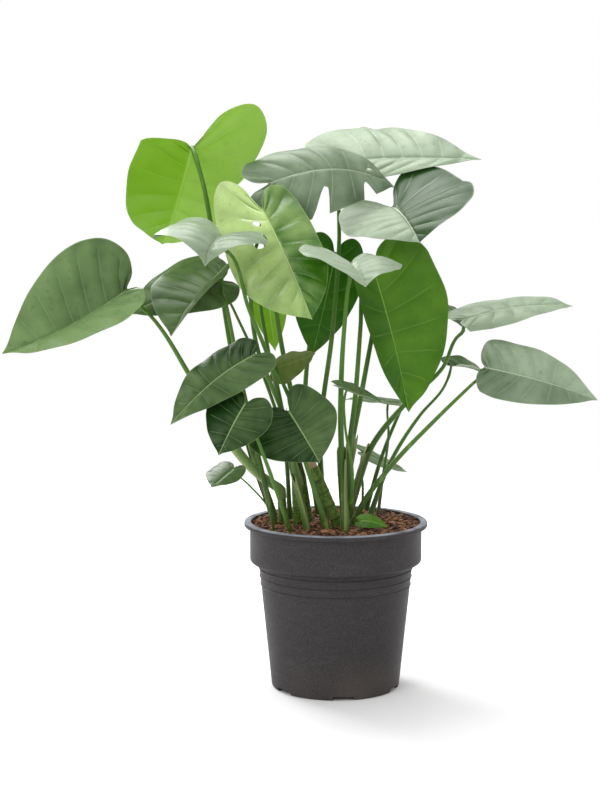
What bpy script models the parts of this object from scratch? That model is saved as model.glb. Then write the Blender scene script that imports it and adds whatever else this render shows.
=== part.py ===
"""A potted monstera. A nursery pot stands on its base with soil up to just under its rim, and
leaf stalks and a few thick canes rise from the soil to heart-shaped leaf blades.

Metres, +Z up. The origin is the centre of the pot's flat underside and the plant's front faces -Y.
Places of blades and stalks are measured from the middle of the soil's surface, so the plant follows
the pot when a pot size changes.
"""

import math
from collections import namedtuple

import bmesh
import bpy
import numpy as np
from mathutils import Matrix

# Pot
POT_HEIGHT = 0.192
RIM_RADIUS = 0.105
LIP_OVERHANG = 0.0065
COLLAR_DEPTH = 0.049
SHOULDER_STEP = 0.010
SHOULDER_RISE = 0.006
BODY_TAPER = 0.015
POT_WALL = 0.0014
LIP_HEIGHT = 0.0055
LIP_ROUND = 0.0012
RIB_COUNT = 3
RIB_SPACING = 0.0095
RIB_DEPTH = 0.0007
BASE_ROUND = 0.003
CHAMFER_DROP = 0.004
CHANNEL_COUNT = 6
CHANNEL_WIDTH = 0.024
CHANNEL_HEIGHT = 0.0045
CHANNEL_START = 0.046
DRAIN_RADIUS = 0.005
CHANNEL_TURN = 0.1
POT_SEGMENTS = 48
FLOOR_THICKNESS = 0.0016
CHANNEL_ROOF = 0.0014

# Soil
SOIL_DROP = 0.006
SOIL_CROWN = 0.005
SOIL_RINGS = (0.86, 0.68, 0.5, 0.32, 0.15)

COLLAR_RADIUS = RIM_RADIUS - LIP_OVERHANG
BODY_RADIUS = COLLAR_RADIUS - SHOULDER_STEP
BASE_RADIUS = BODY_RADIUS - BODY_TAPER
SHOULDER = POT_HEIGHT - COLLAR_DEPTH
SOIL_LEVEL = POT_HEIGHT - SOIL_DROP

# Plant
BLADE_THICKNESS = 0.0006
SHEATH_END = 0.4
STRAIGHT_RADII = 2
NECK_RADII = 5
CLEARANCE = 0.0004
SEAT_GAP = 0.0006
STALK_BEVEL = 2
STALK_PLACES = (0, 0.08, 0.2, 0.34, 0.48, 0.62, 0.76, 0.88, 1)
CANE_TAPER = 0.92
BLADE_ROWS = 10
BLADE_COLUMNS = 3

# Half of a flat blade, from the notch where the stalk joins, round the rear lobe, to the tip:
# across as a share of the half width, along as a share of the midrib.
HALF_BLADE = (
    (0.03, -0.01),
    (0.17, -0.12),
    (0.46, -0.17),
    (0.79, -0.10),
    (0.96, 0.04),
    (1.00, 0.22),
    (0.90, 0.44),
    (0.67, 0.66),
    (0.35, 0.84),
    (0.10, 0.945),
    (0.0, 1.0),
)
LOBE_VEINS = 0.24
VEIN_SWEEP = 1.3
FLARE_END = 0.45
REAR_FLATTENING = 6
LOBE_VEIN_ROOT = 0.05
LIFT_END = 0.4
HOOK_START = 0.75
LEAST_CURL = 1e-4

Blade = namedtuple(
    "Blade",
    "base tip face half fold curl arch lobe flare lift belly hook",
    defaults=((0, 0), (0, 0), 0.0, (1, 1), (0, 0), (0, 0), 1.0, 0.0),
)

BLADES = {
    "far_left": Blade(
        (-0.232, -0.05, 0.273), (-0.363, -0.10, 0.206), (-0.3, -0.6, 0.74), (0.038, 0.075),
        fold=(5, 55), curl=(-15, -15), arch=-0.05, lobe=(0.5, 0.8),
    ),
    "left_back": Blade(
        (-0.128, -0.02, 0.282), (-0.233, -0.03, 0.244), (-0.2, -0.6, 0.75), (0.035, 0.052),
        fold=(-10, 10), curl=(-20, -20), arch=0.06, lobe=(0.8, 0.6),
    ),
    "left_front": Blade(
        (-0.127, -0.034, 0.288), (-0.180, -0.104, 0.225), (-0.2, -0.9, 0.3), (0.03, 0.068),
        fold=(80, 0), curl=(-20, -35), arch=0.08, belly=0.8,
    ),
    "left_small": Blade(
        (-0.125, -0.10, 0.332), (-0.139, -0.17, 0.308), (0.0, -0.6, 0.8), (0.055, 0.08),
        fold=(30, 42), curl=(-60, -100), arch=0.1, lobe=(1.4, 2.2), hook=0.08,
    ),
    "top_left": Blade(
        (-0.165, 0.037, 0.432), (-0.205, 0.107, 0.320), (-0.1, 0.75, 0.6), (0.070, 0.06),
        fold=(-10, -10), curl=(-10, -20), arch=-0.08, lobe=(0.3, 3.2), belly=0.75, flare=(-0.15, 2.0),
    ),
    "centre": Blade(
        (-0.083, -0.048, 0.362), (-0.028, -0.1, 0.243), (-0.1, -0.75, 0.6), (0.045, 0.062),
        fold=(5, -5), curl=(-30, -30), arch=0.1, lobe=(1.0, 2.2), belly=0.55,
    ),
    "top_centre": Blade(
        (-0.075, -0.012, 0.390), (0.068, 0.050, 0.386), (0.1, -0.62, 0.78), (0.052, 0.058),
        fold=(20, -10), curl=(-50, -30), arch=0.15, lobe=(0.9, 1.0), belly=1.0, flare=(0, -0.4),
    ),
    "top_right": Blade(
        (0.009, 0.106, 0.418), (0.168, 0.050, 0.418), (0.0, -0.42, 0.9), (0.088, 0.056),
        fold=(25, 0), curl=(-40, -30), arch=0.02, lobe=(2.0, 1.2), belly=2.0,
    ),
    "right_pair": Blade(
        (0.065, 0.02, 0.363), (0.090, -0.06, 0.325), (0.0, -0.7, 0.7), (0.088, 0.07),
        fold=(20, 5), curl=(-20, -20), arch=0.08, lobe=(3.2, 2.8), lift=(0.7, 0), belly=0.7,
    ),
    "centre_small": Blade(
        (0.014, -0.085, 0.303), (0.028, -0.14, 0.280), (0.0, -0.3, 0.95), (0.056, 0.064),
        fold=(30, 35), curl=(-70, -30), arch=0.06, lobe=(1.2, 2.0),
    ),
    "right_hanging": Blade(
        (0.041, -0.01, 0.296), (0.083, 0.0, 0.131), (0.3, -0.93, 0.1), (0.080, 0.026),
        fold=(0, -20), curl=(-15, -20), arch=0.05, lobe=(1.0, 0.1), belly=0.75,
    ),
    "far_right_upper": Blade(
        (0.146, 0.03, 0.234), (0.276, 0.05, 0.249), (-0.1, -0.15, 0.98), (0.055, 0.034),
        fold=(15, 0), curl=(-30, -40), arch=0.06, lobe=(0.6, 0.2), flare=(0, -0.6), belly=0.8,
    ),
    "far_right_back": Blade(
        (0.131, 0.085, 0.247), (0.173, 0.105, 0.218), (0.3, -0.5, 0.8), (0.016, 0.016),
        curl=(-20, -20),
    ),
    "far_right_lower": Blade(
        (0.166, -0.03, 0.185), (0.292, -0.04, 0.149), (0.1, -0.75, 0.65), (0.052, 0.032),
        fold=(0, -20), curl=(-20, -30), arch=0.04, lobe=(0.35, 0.3), flare=(0, -0.3),
    ),
    "right_edge_on": Blade(
        (0.137, 0.07, 0.178), (0.189, 0.10, 0.159), (0.2, -0.15, 0.97), (0.02, 0.02),
        fold=(20, 20), arch=0.08,
    ),
    "low_left_long": Blade(
        (-0.090, -0.11, 0.206), (-0.177, -0.16, 0.136), (-0.3, -0.7, 0.65), (0.03, 0.038),
        fold=(-10, 10), curl=(-20, -30), arch=0.08, lobe=(0.8, 0.8),
    ),
    "low_left_heart": Blade(
        (-0.099, -0.145, 0.157), (-0.126, -0.175, 0.106), (-0.1, -0.85, 0.52), (0.035, 0.037),
        curl=(-20, -20), arch=0.06, lobe=(1.3, 1.3),
    ),
    "low_centre_heart": Blade(
        (-0.053, -0.104, 0.144), (-0.020, -0.134, 0.092), (0.0, -0.8, 0.6), (0.048, 0.056),
        fold=(0, -5), curl=(-15, -15), arch=0.04, lobe=(2.2, 1.4),
    ),
    "olive": Blade(
        (-0.068, -0.054, 0.187), (-0.024, -0.044, 0.202), (0.0, 0.62, 0.78), (0.030, 0.026),
        curl=(-20, -20), belly=0.9,
    ),
    "tiny_left": Blade(
        (-0.113, -0.09, 0.080), (-0.137, -0.11, 0.062), (-0.1, -0.4, 0.9), (0.016, 0.034),
        curl=(-30, -30), lobe=(1.5, 1.0),
    ),
    "pale_hanging": Blade(
        (-0.082, 0.05, 0.290), (-0.070, 0.06, 0.196), (0.1, 0.9, 0.1), (0.024, 0.024),
    ),
    "dark_hanging": Blade(
        (0.0, 0.06, 0.310), (-0.027, 0.07, 0.190), (0.2, -0.9, 0.2), (0.04, 0.045),
        curl=(-20, -20), arch=0.05,
    ),
    "centre_edge_on": Blade(
        (0.010, -0.085, 0.165), (0.050, -0.08, 0.150), (0.3, -0.15, 0.95), (0.019, 0.019),
        fold=(15, 15), lobe=(2.5, 2.5),
    ),
    "low_right": Blade(
        (0.035, 0.09, 0.072), (0.088, 0.11, 0.046), (0.2, -0.3, 0.93), (0.02, 0.02),
    ),
    "low_right_back": Blade(
        (0.064, 0.085, 0.134), (0.012, 0.09, 0.136), (0.1, -0.15, 0.98), (0.015, 0.015),
        lobe=(2.5, 2.5), arch=0.04,
    ),
    "soil_sprout": Blade(
        (0.026, -0.064, 0.017), (0.056, -0.066, 0.010), (0.1, -0.5, 0.86), (0.012, 0.012),
        arch=0.1,
    ),
}


# A cane is a short thick stem. It stands on the soil, at a place given as shares of the rim's
# radius (across, back), and carries one stalk on its top.
Cane = namedtuple("Cane", "foot top radius")

CANES = {
    "left": Cane((-0.57, -0.11), (-0.062, -0.014, 0.034), 0.0056),
    "middle": Cane((-0.42, -0.29), (-0.046, -0.034, 0.052), 0.0050),
    "inner": Cane((-0.29, -0.15), (-0.037, -0.016, 0.050), 0.0048),
    "leaning": Cane((0.02, -0.42), (-0.026, -0.046, 0.074), 0.0068),
}

# A stalk rises from its foot, which is a place on the soil as for a cane, or the name of a cane,
# through its points and ends under the notch of the blade of the same name.
Stalk = namedtuple("Stalk", "foot points foot_radius top_radius")

STALKS = {
    "far_left": Stalk(
        "left",
        ((-0.086, -0.024, 0.062), (-0.118, -0.034, 0.10), (-0.16, -0.04, 0.17), (-0.203, -0.048, 0.24)),
        0.005, 0.0017,
    ),
    "left_back": Stalk(
        (-0.50, 0.08),
        ((-0.06, 0.002, 0.10), (-0.085, -0.01, 0.18), (-0.116, -0.018, 0.25)),
        0.003, 0.0013,
    ),
    "left_front": Stalk(
        (-0.67, -0.29),
        ((-0.088, -0.034, 0.085), (-0.108, -0.048, 0.18), (-0.123, -0.058, 0.26)),
        0.0036, 0.0018,
    ),
    "left_small": Stalk(
        "middle",
        (
            (-0.054, -0.056, 0.10), (-0.072, -0.074, 0.19),
            (-0.097, -0.086, 0.255), (-0.118, -0.094, 0.315),
        ),
        0.0036, 0.0017,
    ),
    "top_left": Stalk(
        (-0.69, 0.15),
        ((-0.095, 0.02, 0.08), (-0.118, 0.024, 0.19), (-0.137, 0.02, 0.31), (-0.152, 0.012, 0.395)),
        0.0042, 0.0024,
    ),
    "centre": Stalk(
        "inner",
        ((-0.06, -0.016, 0.13), (-0.09, -0.02, 0.21), (-0.094, -0.035, 0.30)),
        0.0036, 0.0018,
    ),
    "top_centre": Stalk(
        (-0.13, -0.25),
        ((-0.036, -0.028, 0.10), (-0.058, -0.024, 0.19), (-0.072, -0.024, 0.28), (-0.08, -0.016, 0.35)),
        0.0038, 0.002,
    ),
    "top_right": Stalk(
        (-0.13, 0.08),
        ((-0.018, 0.014, 0.10), (-0.004, 0.022, 0.22), (0.004, 0.045, 0.32), (0.006, 0.085, 0.39)),
        0.0036, 0.002,
    ),
    "right_pair": Stalk(
        (0.13, 0.23),
        ((0.016, 0.022, 0.07), (0.03, 0.025, 0.15), (0.048, 0.032, 0.25), (0.06, 0.03, 0.33)),
        0.004, 0.0019,
    ),
    "centre_small": Stalk(
        (0.09, -0.59),
        ((0.006, -0.06, 0.07), (0.004, -0.064, 0.15), (0.008, -0.076, 0.24), (0.012, -0.082, 0.28)),
        0.0045, 0.0019,
    ),
    "right_hanging": Stalk(
        (0.17, -0.11),
        ((0.014, -0.01, 0.07), (0.022, -0.004, 0.15), (0.028, 0.006, 0.23), (0.031, 0.012, 0.275)),
        0.0038, 0.0021,
    ),
    "far_right_upper": Stalk(
        (0.17, 0.42),
        ((0.045, 0.042, 0.09), (0.085, 0.04, 0.14), (0.125, 0.036, 0.18), (0.141, 0.034, 0.215)),
        0.0048, 0.0018,
    ),
    "far_right_back": Stalk(
        (0.36, 0.59),
        ((0.056, 0.072, 0.07), (0.088, 0.108, 0.14), (0.12, 0.098, 0.215)),
        0.003, 0.0012,
    ),
    "far_right_lower": Stalk(
        (0.19, -0.34),
        ((0.032, -0.036, 0.035), (0.062, -0.036, 0.075), (0.11, -0.032, 0.125), (0.153, -0.026, 0.166)),
        0.0038, 0.0016,
    ),
    "right_edge_on": Stalk(
        (0.38, 0.06),
        ((0.062, 0.03, 0.065), (0.10, 0.062, 0.12), (0.13, 0.071, 0.155)),
        0.0034, 0.0014,
    ),
    "low_left_long": Stalk(
        (-0.32, -0.57),
        ((-0.044, -0.07, 0.06), (-0.058, -0.078, 0.13), (-0.078, -0.088, 0.182)),
        0.0036, 0.0018,
    ),
    "low_left_heart": Stalk(
        (-0.50, -0.67),
        ((-0.064, -0.106, 0.05), (-0.086, -0.142, 0.118)),
        0.0032, 0.0015,
    ),
    "low_centre_heart": Stalk(
        (-0.11, -0.65),
        ((-0.024, -0.076, 0.05), (-0.044, -0.086, 0.112)),
        0.0036, 0.0017,
    ),
    "olive": Stalk(
        "leaning",
        ((-0.043, -0.056, 0.13),),
        0.0042, 0.0018,
    ),
    "tiny_left": Stalk(
        (-0.67, -0.51),
        ((-0.076, -0.062, 0.03), (-0.096, -0.078, 0.058)),
        0.0014, 0.0009,
    ),
    "pale_hanging": Stalk(
        (-0.38, 0.32),
        ((-0.055, 0.038, 0.10), (-0.078, 0.036, 0.20), (-0.086, 0.034, 0.27)),
        0.0034, 0.0018,
    ),
    "dark_hanging": Stalk(
        (-0.19, 0.38),
        ((-0.034, 0.052, 0.10), (-0.03, 0.084, 0.20), (-0.008, 0.088, 0.29)),
        0.0038, 0.002,
    ),
    "centre_edge_on": Stalk(
        (0.12, -0.44),
        ((0.017, -0.074, 0.07), (0.008, -0.086, 0.13)),
        0.0022, 0.0012,
    ),
    "low_right": Stalk(
        (0.32, 0.74),
        ((0.034, 0.088, 0.035),),
        0.002, 0.001,
    ),
    "low_right_back": Stalk(
        (0.48, 0.34),
        ((0.056, 0.052, 0.045), (0.064, 0.078, 0.10)),
        0.0022, 0.0012,
    ),
    "soil_sprout": Stalk(
        (0.23, -0.65),
        (),
        0.0012, 0.0008,
    ),
}


def smooth_curve(points, places):
    """A curve through the points, read at places from 0 to 1."""
    known = np.asarray(points, float)
    known = np.vstack([2 * known[0] - known[1], known, 2 * known[-1] - known[-2]])
    spans = len(points) - 1
    run = np.clip(np.asarray(places, float), 0, 1) * spans
    first = np.minimum(run.astype(int), spans - 1)
    part = (run - first)[..., None]
    a, b, c, d = (known[first + step] for step in range(4))
    return 0.5 * (
        2 * b
        + (c - a) * part
        + (2 * a - 5 * b + 4 * c - d) * part**2
        + (3 * b - a - 3 * c + d) * part**3
    )


def unit(vector):
    return vector / np.linalg.norm(vector, axis=-1, keepdims=True)


def blade_points(blade, side, along_margin, reach):
    """Points on one half of a blade: side is 1 right of the midrib and -1 left of it, seen from
    above with the tip ahead; along_margin runs from the notch to the tip and reach from the
    midrib to the margin."""
    which = 0 if side < 0 else 1
    s, reach = np.broadcast_arrays(np.asarray(along_margin, float), np.asarray(reach, float))
    margin = smooth_curve(HALF_BLADE, s)
    across = margin[..., 0] * (1 + blade.flare[which] * np.clip(1 - s / FLARE_END, 0, 1))
    rear = margin[..., 1] * blade.lobe[which]
    ahead = np.where(margin[..., 1] < 0, rear, np.abs(margin[..., 1]) ** blade.belly)
    past_lobe = np.clip((s - LOBE_VEINS) / (1 - LOBE_VEINS), 0, 1)
    vein_root = LOBE_VEIN_ROOT * np.minimum(s / LOBE_VEINS, 1) + (1 - LOBE_VEIN_ROOT) * past_lobe
    y = vein_root + (ahead - vein_root) * reach**VEIN_SWEEP
    u = across * reach

    base, tip, face = (np.array(values, float) for values in blade[:3])
    length = np.linalg.norm(tip - base)
    ahead_axis = (tip - base) / length
    up_axis = unit(face - face.dot(ahead_axis) * ahead_axis)
    y = y[..., None]
    u = u[..., None]
    behind = np.exp(REAR_FLATTENING * np.minimum(y, 0))
    bow = np.where(y > 0, 4 * y * (1 - y), 4 * (behind - 1) / REAR_FLATTENING)
    slope = np.where(y > 0, 4 * (1 - 2 * y), 4 * behind)
    hook = np.clip((y - HOOK_START) / (1 - HOOK_START), 0, 2) ** 2
    centre = base + length * (ahead_axis * y + up_axis * (blade.arch * bow - blade.hook * hook))
    tangent = unit(ahead_axis + slope * up_axis * blade.arch)
    normal = unit(up_axis - (tangent @ up_axis)[..., None] * tangent)
    beside = np.cross(tangent, normal)
    half = blade.half[which]
    fold = math.radians(blade.fold[which])
    curl = math.radians(blade.curl[which]) or LEAST_CURL
    out = half * (np.sin(fold + curl * u) - math.sin(fold)) / curl
    rise = half * (math.cos(fold) - np.cos(fold + curl * u)) / curl
    rise = rise + blade.lift[which] * half * u * np.clip(1 - s / LIFT_END, 0, 1)[..., None]
    return centre + side * beside * out + normal * rise


def soil_height(out):
    """How high the mound of soil lies above the level at the rim, this far out from the middle."""
    return SOIL_CROWN * (1 - (out / RIM_RADIUS) ** 2)


def standing_place(foot, radius, lean=0):
    """The middle of a round foot that just clears the soil, for a stem that leans by this share."""
    across, back = (share * RIM_RADIUS for share in foot)
    inner_edge = max(math.hypot(across, back) - radius, 0)
    return np.array((across, back, soil_height(inner_edge) + CLEARANCE + lean * radius))


def smooth_route(points, places):
    """A curve through unevenly spaced points, read at places from 0 to 1 of its length."""
    known = np.asarray(points, float)
    steps = np.linalg.norm(np.diff(known, axis=0), axis=1)
    knots = np.concatenate([[0], np.cumsum(steps)])
    speeds = np.diff(known, axis=0) / steps[:, None]
    blended = speeds[:-1] * steps[1:, None] + speeds[1:] * steps[:-1, None]
    inner = blended / (steps[1:] + steps[:-1])[:, None]
    headings = np.vstack([speeds[:1], inner, speeds[-1:]])
    run = np.clip(np.asarray(places, float), 0, 1) * knots[-1]
    k = np.clip(np.searchsorted(knots, run, side="right") - 1, 0, len(steps) - 1)
    t = ((run - knots[k]) / steps[k])[..., None]
    span = steps[k][..., None]
    return (
        (2 * t**3 - 3 * t**2 + 1) * known[k]
        + (t**3 - 2 * t**2 + t) * span * headings[k]
        + (3 * t**2 - 2 * t**3) * known[k + 1]
        + (t**3 - t**2) * span * headings[k + 1]
    )


def cane_route(name):
    """The middle of a cane's foot and of its top."""
    cane = CANES[name]
    upright = standing_place(cane.foot, cane.radius)
    across, back, _ = unit(cane.top - upright)
    lean = math.hypot(across, back)
    return np.array([standing_place(cane.foot, cane.radius, lean), cane.top])


def blade_root(blade):
    """Where a blade's midrib starts, and the direction its upper side faces there."""
    base, tip, face = (np.array(values, float) for values in blade[:3])
    ahead = unit(tip - base)
    up = unit(face - face.dot(ahead) * ahead)
    tangent = unit(ahead + 4 * up * blade.arch)
    return base, unit(up - up.dot(tangent) * tangent)


def stalk_ends(name):
    """The stalk's foot and a point straight over it, and a point under the blade and its top."""
    stalk = STALKS[name]
    if stalk.foot in CANES:
        low, high = cane_route(stalk.foot)
        foot = high + CLEARANCE * unit(high - low)
        start = foot + STRAIGHT_RADII * stalk.foot_radius * unit(high - low)
    else:
        foot = standing_place(stalk.foot, stalk.foot_radius)
        start = foot + (0, 0, STRAIGHT_RADII * stalk.foot_radius)
    base, up = blade_root(BLADES[name])
    droop = max(0, -math.sin(math.radians(min(BLADES[name].fold))))
    top = base - (BLADE_THICKNESS / 2 + SEAT_GAP + droop * stalk.top_radius) * up
    return foot, start, top - STRAIGHT_RADII * stalk.top_radius * up, top


def stalk_route(name, places):
    """Points along a stalk's middle, from the soil or its cane to just under its blade."""
    foot, start, below, top = stalk_ends(name)
    points = [start, *(np.array(point) for point in STALKS[name].points)]
    up = unit(top - below)
    reach = NECK_RADII * STALKS[name].top_radius
    neck = below - reach * unit(up + unit(below - points[-1]))
    return np.vstack([foot, smooth_route([*points, neck, below], places), top])


def stalk_radii(name, places):
    """The stalk's radius at each point of its route, widest in the sheath at its foot."""
    stalk = STALKS[name]
    places = np.concatenate([[0], places, [1]])
    middle = (stalk.foot_radius + stalk.top_radius) / 2
    sheath = middle + (stalk.foot_radius - middle) * (1 - places / SHEATH_END) ** 2
    upper = middle + (stalk.top_radius - middle) * (places - SHEATH_END) / (1 - SHEATH_END)
    return np.where(places < SHEATH_END, sheath, upper)


def material(name, colour, roughness):
    made = bpy.data.materials.new(name)
    made.use_nodes = True
    shader = made.node_tree.nodes["Principled BSDF"]
    shader.inputs["Base Color"].default_value = (*colour, 1)
    shader.inputs["Roughness"].default_value = roughness
    shader.inputs["Metallic"].default_value = 0
    return made


def add_object(name, data, finish):
    made = bpy.data.objects.new(name, data)
    data.materials.append(finish)
    bpy.context.scene.collection.objects.link(made)
    return made


def turned_mesh(name, profile):
    """A closed mesh from a profile of (radius, height) that starts and ends on the axis."""
    form = bmesh.new()
    rings = []
    for radius, height in profile:
        count = 1 if radius == 0 else POT_SEGMENTS
        ring = []
        for step in range(count):
            angle = 2 * math.pi * step / POT_SEGMENTS
            x, y = radius * math.cos(angle), radius * math.sin(angle)
            ring.append(form.verts.new((x, y, height)))
        rings.append(ring)
    for low, high in zip(rings, rings[1:]):
        for step in range(POT_SEGMENTS):
            after = (step + 1) % POT_SEGMENTS
            near = [low[step % len(low)], low[after % len(low)]]
            far = [high[after % len(high)], high[step % len(high)]]
            form.faces.new(list(dict.fromkeys(near + far)))
    mesh = bpy.data.meshes.new(name)
    form.to_mesh(mesh)
    form.free()
    mesh.shade_smooth()
    mesh.set_sharp_from_angle(angle=math.radians(35))
    return mesh


def body_radius(height):
    """The pot's outer radius below its collar."""
    return BASE_RADIUS + (BODY_RADIUS - BASE_RADIUS) * height / SHOULDER


def pot_profile():
    """Up the outside from the middle of the underside, over the lip and down the inside."""
    floor_edge = CHANNEL_START - 2 * CHANNEL_HEIGHT
    outside = [(0, 0), (floor_edge, 0), (BASE_RADIUS - BASE_ROUND, 0)]
    outside.append((body_radius(BASE_ROUND / 3) - BASE_ROUND / 3, BASE_ROUND / 3))
    outside.append((body_radius(BASE_ROUND), BASE_ROUND))
    for rib in reversed(range(RIB_COUNT)):
        middle = SHOULDER - RIB_SPACING * (rib + 0.5)
        outside.append((body_radius(middle) - RIB_DEPTH / 2, middle - 2 * RIB_DEPTH))
        outside.append((body_radius(middle) + RIB_DEPTH, middle))
        outside.append((body_radius(middle) - RIB_DEPTH / 2, middle + RIB_DEPTH))
    outside.append((BODY_RADIUS, SHOULDER - 2 * RIB_DEPTH))
    outside.append((COLLAR_RADIUS - CHAMFER_DROP, SHOULDER + CHAMFER_DROP / 2))
    outside.append((COLLAR_RADIUS - CHAMFER_DROP / 4, SHOULDER + SHOULDER_RISE))
    outside.append((COLLAR_RADIUS, POT_HEIGHT - LIP_HEIGHT - LIP_ROUND))
    outside.append((RIM_RADIUS - LIP_ROUND, POT_HEIGHT - LIP_HEIGHT))
    outside.append((RIM_RADIUS, POT_HEIGHT - LIP_HEIGHT + LIP_ROUND))
    outside.append((RIM_RADIUS, POT_HEIGHT - LIP_ROUND))
    outside.append((RIM_RADIUS - LIP_ROUND, POT_HEIGHT))
    inside = [(inner_radius(POT_HEIGHT) + LIP_ROUND, POT_HEIGHT)]
    inside.append((inner_radius(POT_HEIGHT), POT_HEIGHT - LIP_ROUND))
    for height in (SOIL_LEVEL, SHOULDER + SHOULDER_RISE, SHOULDER, FLOOR_THICKNESS):
        inside.append((inner_radius(height), height))
    inside.append((floor_edge, FLOOR_THICKNESS))
    return [*outside, *inside, (0, FLOOR_THICKNESS)]


def inner_radius(height):
    """The pot's inner radius, a wall's thickness inside the body and the collar."""
    if height <= SHOULDER:
        return body_radius(height) - POT_WALL
    blend = min((height - SHOULDER) / SHOULDER_RISE, 1)
    return BODY_RADIUS + (COLLAR_RADIUS - BODY_RADIUS) * blend - POT_WALL


def block_ring(name, start, width, height, low):
    """Boxes round the axis that run outwards from start to past the wall, as one mesh."""
    form = bmesh.new()
    length = BASE_RADIUS + CHANNEL_WIDTH - start
    for step in range(CHANNEL_COUNT):
        angle = 2 * math.pi * step / CHANNEL_COUNT - math.pi / 2 + CHANNEL_TURN
        turn = Matrix.Rotation(angle, 4, "Z")
        place = Matrix.Translation((start + length / 2, 0, low + height / 2))
        size = Matrix.Diagonal((length, width, height, 1))
        bmesh.ops.create_cube(form, size=1, matrix=turn @ place @ size)
    mesh = bpy.data.meshes.new(name)
    form.to_mesh(mesh)
    form.free()
    return mesh


def drain_mesh(name):
    form = bmesh.new()
    for step in range(CHANNEL_COUNT):
        angle = 2 * math.pi * step / CHANNEL_COUNT - math.pi / 2 + CHANNEL_TURN
        reach = CHANNEL_START + CHANNEL_WIDTH / 2
        place = Matrix.Translation((reach * math.cos(angle), reach * math.sin(angle), CHANNEL_HEIGHT))
        bmesh.ops.create_cone(
            form, cap_ends=True, segments=16, radius1=DRAIN_RADIUS, radius2=DRAIN_RADIUS,
            depth=4 * CHANNEL_HEIGHT, matrix=place,
        )
    mesh = bpy.data.meshes.new(name)
    form.to_mesh(mesh)
    form.free()
    return mesh


def helper(name, mesh, finish):
    made = add_object(name, mesh, finish)
    made.hide_render = True
    made.display_type = "WIRE"
    return made


def combine(target, other, operation):
    boolean = target.modifiers.new(other.name, "BOOLEAN")
    boolean.operation = operation
    boolean.solver = "EXACT"
    boolean.object = other


def add_pot(finish):
    """The shell, with raised channels under its floor that let water out of the drain holes."""
    pot = add_object("pot", turned_mesh("pot", pot_profile()), finish)
    low = FLOOR_THICKNESS / 2
    roofs = block_ring(
        "channel_roofs", CHANNEL_START - CHANNEL_ROOF, CHANNEL_WIDTH + 2 * CHANNEL_ROOF,
        CHANNEL_HEIGHT + CHANNEL_ROOF - low, low,
    )
    roofs = helper("channel_roofs", roofs, finish)
    limits = [(body_radius(height) - POT_WALL / 2, height) for height in (-POT_WALL, CHANNEL_START)]
    within = turned_mesh("channel_limit", [(0, -POT_WALL), *limits, (0, CHANNEL_START)])
    combine(roofs, helper("channel_limit", within, finish), "INTERSECT")
    combine(pot, roofs, "UNION")
    channels = block_ring(
        "channels", CHANNEL_START, CHANNEL_WIDTH, 2 * CHANNEL_HEIGHT, -CHANNEL_HEIGHT
    )
    combine(pot, helper("channels", channels, finish), "DIFFERENCE")
    combine(pot, helper("drains", drain_mesh("drains"), finish), "DIFFERENCE")


def add_soil(finish):
    """Soil that fills the pot from just over the channels, with a low mound on top."""
    bottom = CHANNEL_HEIGHT + CHANNEL_ROOF + CLEARANCE
    profile = [(0, bottom), (inner_radius(bottom) - CLEARANCE, bottom)]
    for height in (SHOULDER, SHOULDER + SHOULDER_RISE):
        profile.append((inner_radius(height) - CLEARANCE, height + CLEARANCE))
    edge = inner_radius(SOIL_LEVEL) - CLEARANCE
    profile.append((edge, SOIL_LEVEL + soil_height(edge)))
    for share in SOIL_RINGS:
        profile.append((share * edge, SOIL_LEVEL + soil_height(share * edge)))
    profile.append((0, SOIL_LEVEL + soil_height(0)))
    add_object("soil", turned_mesh("soil", profile), finish)


def blade_mesh(name, blade):
    """A sheet through the blade's grid of points, one half at a time, closed at the tip."""
    form = bmesh.new()
    along = np.linspace(0, 1, BLADE_ROWS + 1)
    across = np.linspace(0, 1, BLADE_COLUMNS + 1)
    midrib = []
    for side in (1, -1):
        grid = blade_points(blade, side, along[:, None], across[None, :]) + (0, 0, SOIL_LEVEL)
        if not midrib:
            midrib = [form.verts.new(point) for point in grid[:, 0]]
        rows = []
        for row, root in zip(grid, midrib):
            rows.append([root] + [form.verts.new(point) for point in row[1:]])
        for vertex in rows[-1][1:]:
            form.verts.remove(vertex)
        rows[-1] = [midrib[-1]] * len(across)
        for low, high in zip(rows, rows[1:]):
            for column in range(BLADE_COLUMNS):
                corners = [low[column], low[column + 1], high[column + 1], high[column]]
                corners = list(dict.fromkeys(corners))
                form.faces.new(corners if side > 0 else corners[::-1])
    mesh = bpy.data.meshes.new(name)
    form.to_mesh(mesh)
    form.free()
    mesh.shade_smooth()
    return mesh


def add_blade(name, blade, finish):
    made = add_object("leaf_" + name, blade_mesh("leaf_" + name, blade), finish)
    skin = made.modifiers.new("thickness", "SOLIDIFY")
    skin.thickness = BLADE_THICKNESS
    skin.offset = 0


def add_tube(name, points, radii, finish):
    curve = bpy.data.curves.new(name, "CURVE")
    curve.dimensions = "3D"
    curve.bevel_depth = 1
    curve.bevel_resolution = STALK_BEVEL
    curve.use_fill_caps = True
    line = curve.splines.new("POLY")
    line.points.add(len(points) - 1)
    for target, point, radius in zip(line.points, points, radii):
        target.co = (*(point + (0, 0, SOIL_LEVEL)), 1)
        target.radius = radius
    line.use_smooth = True
    add_object(name, curve, finish)


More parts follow.
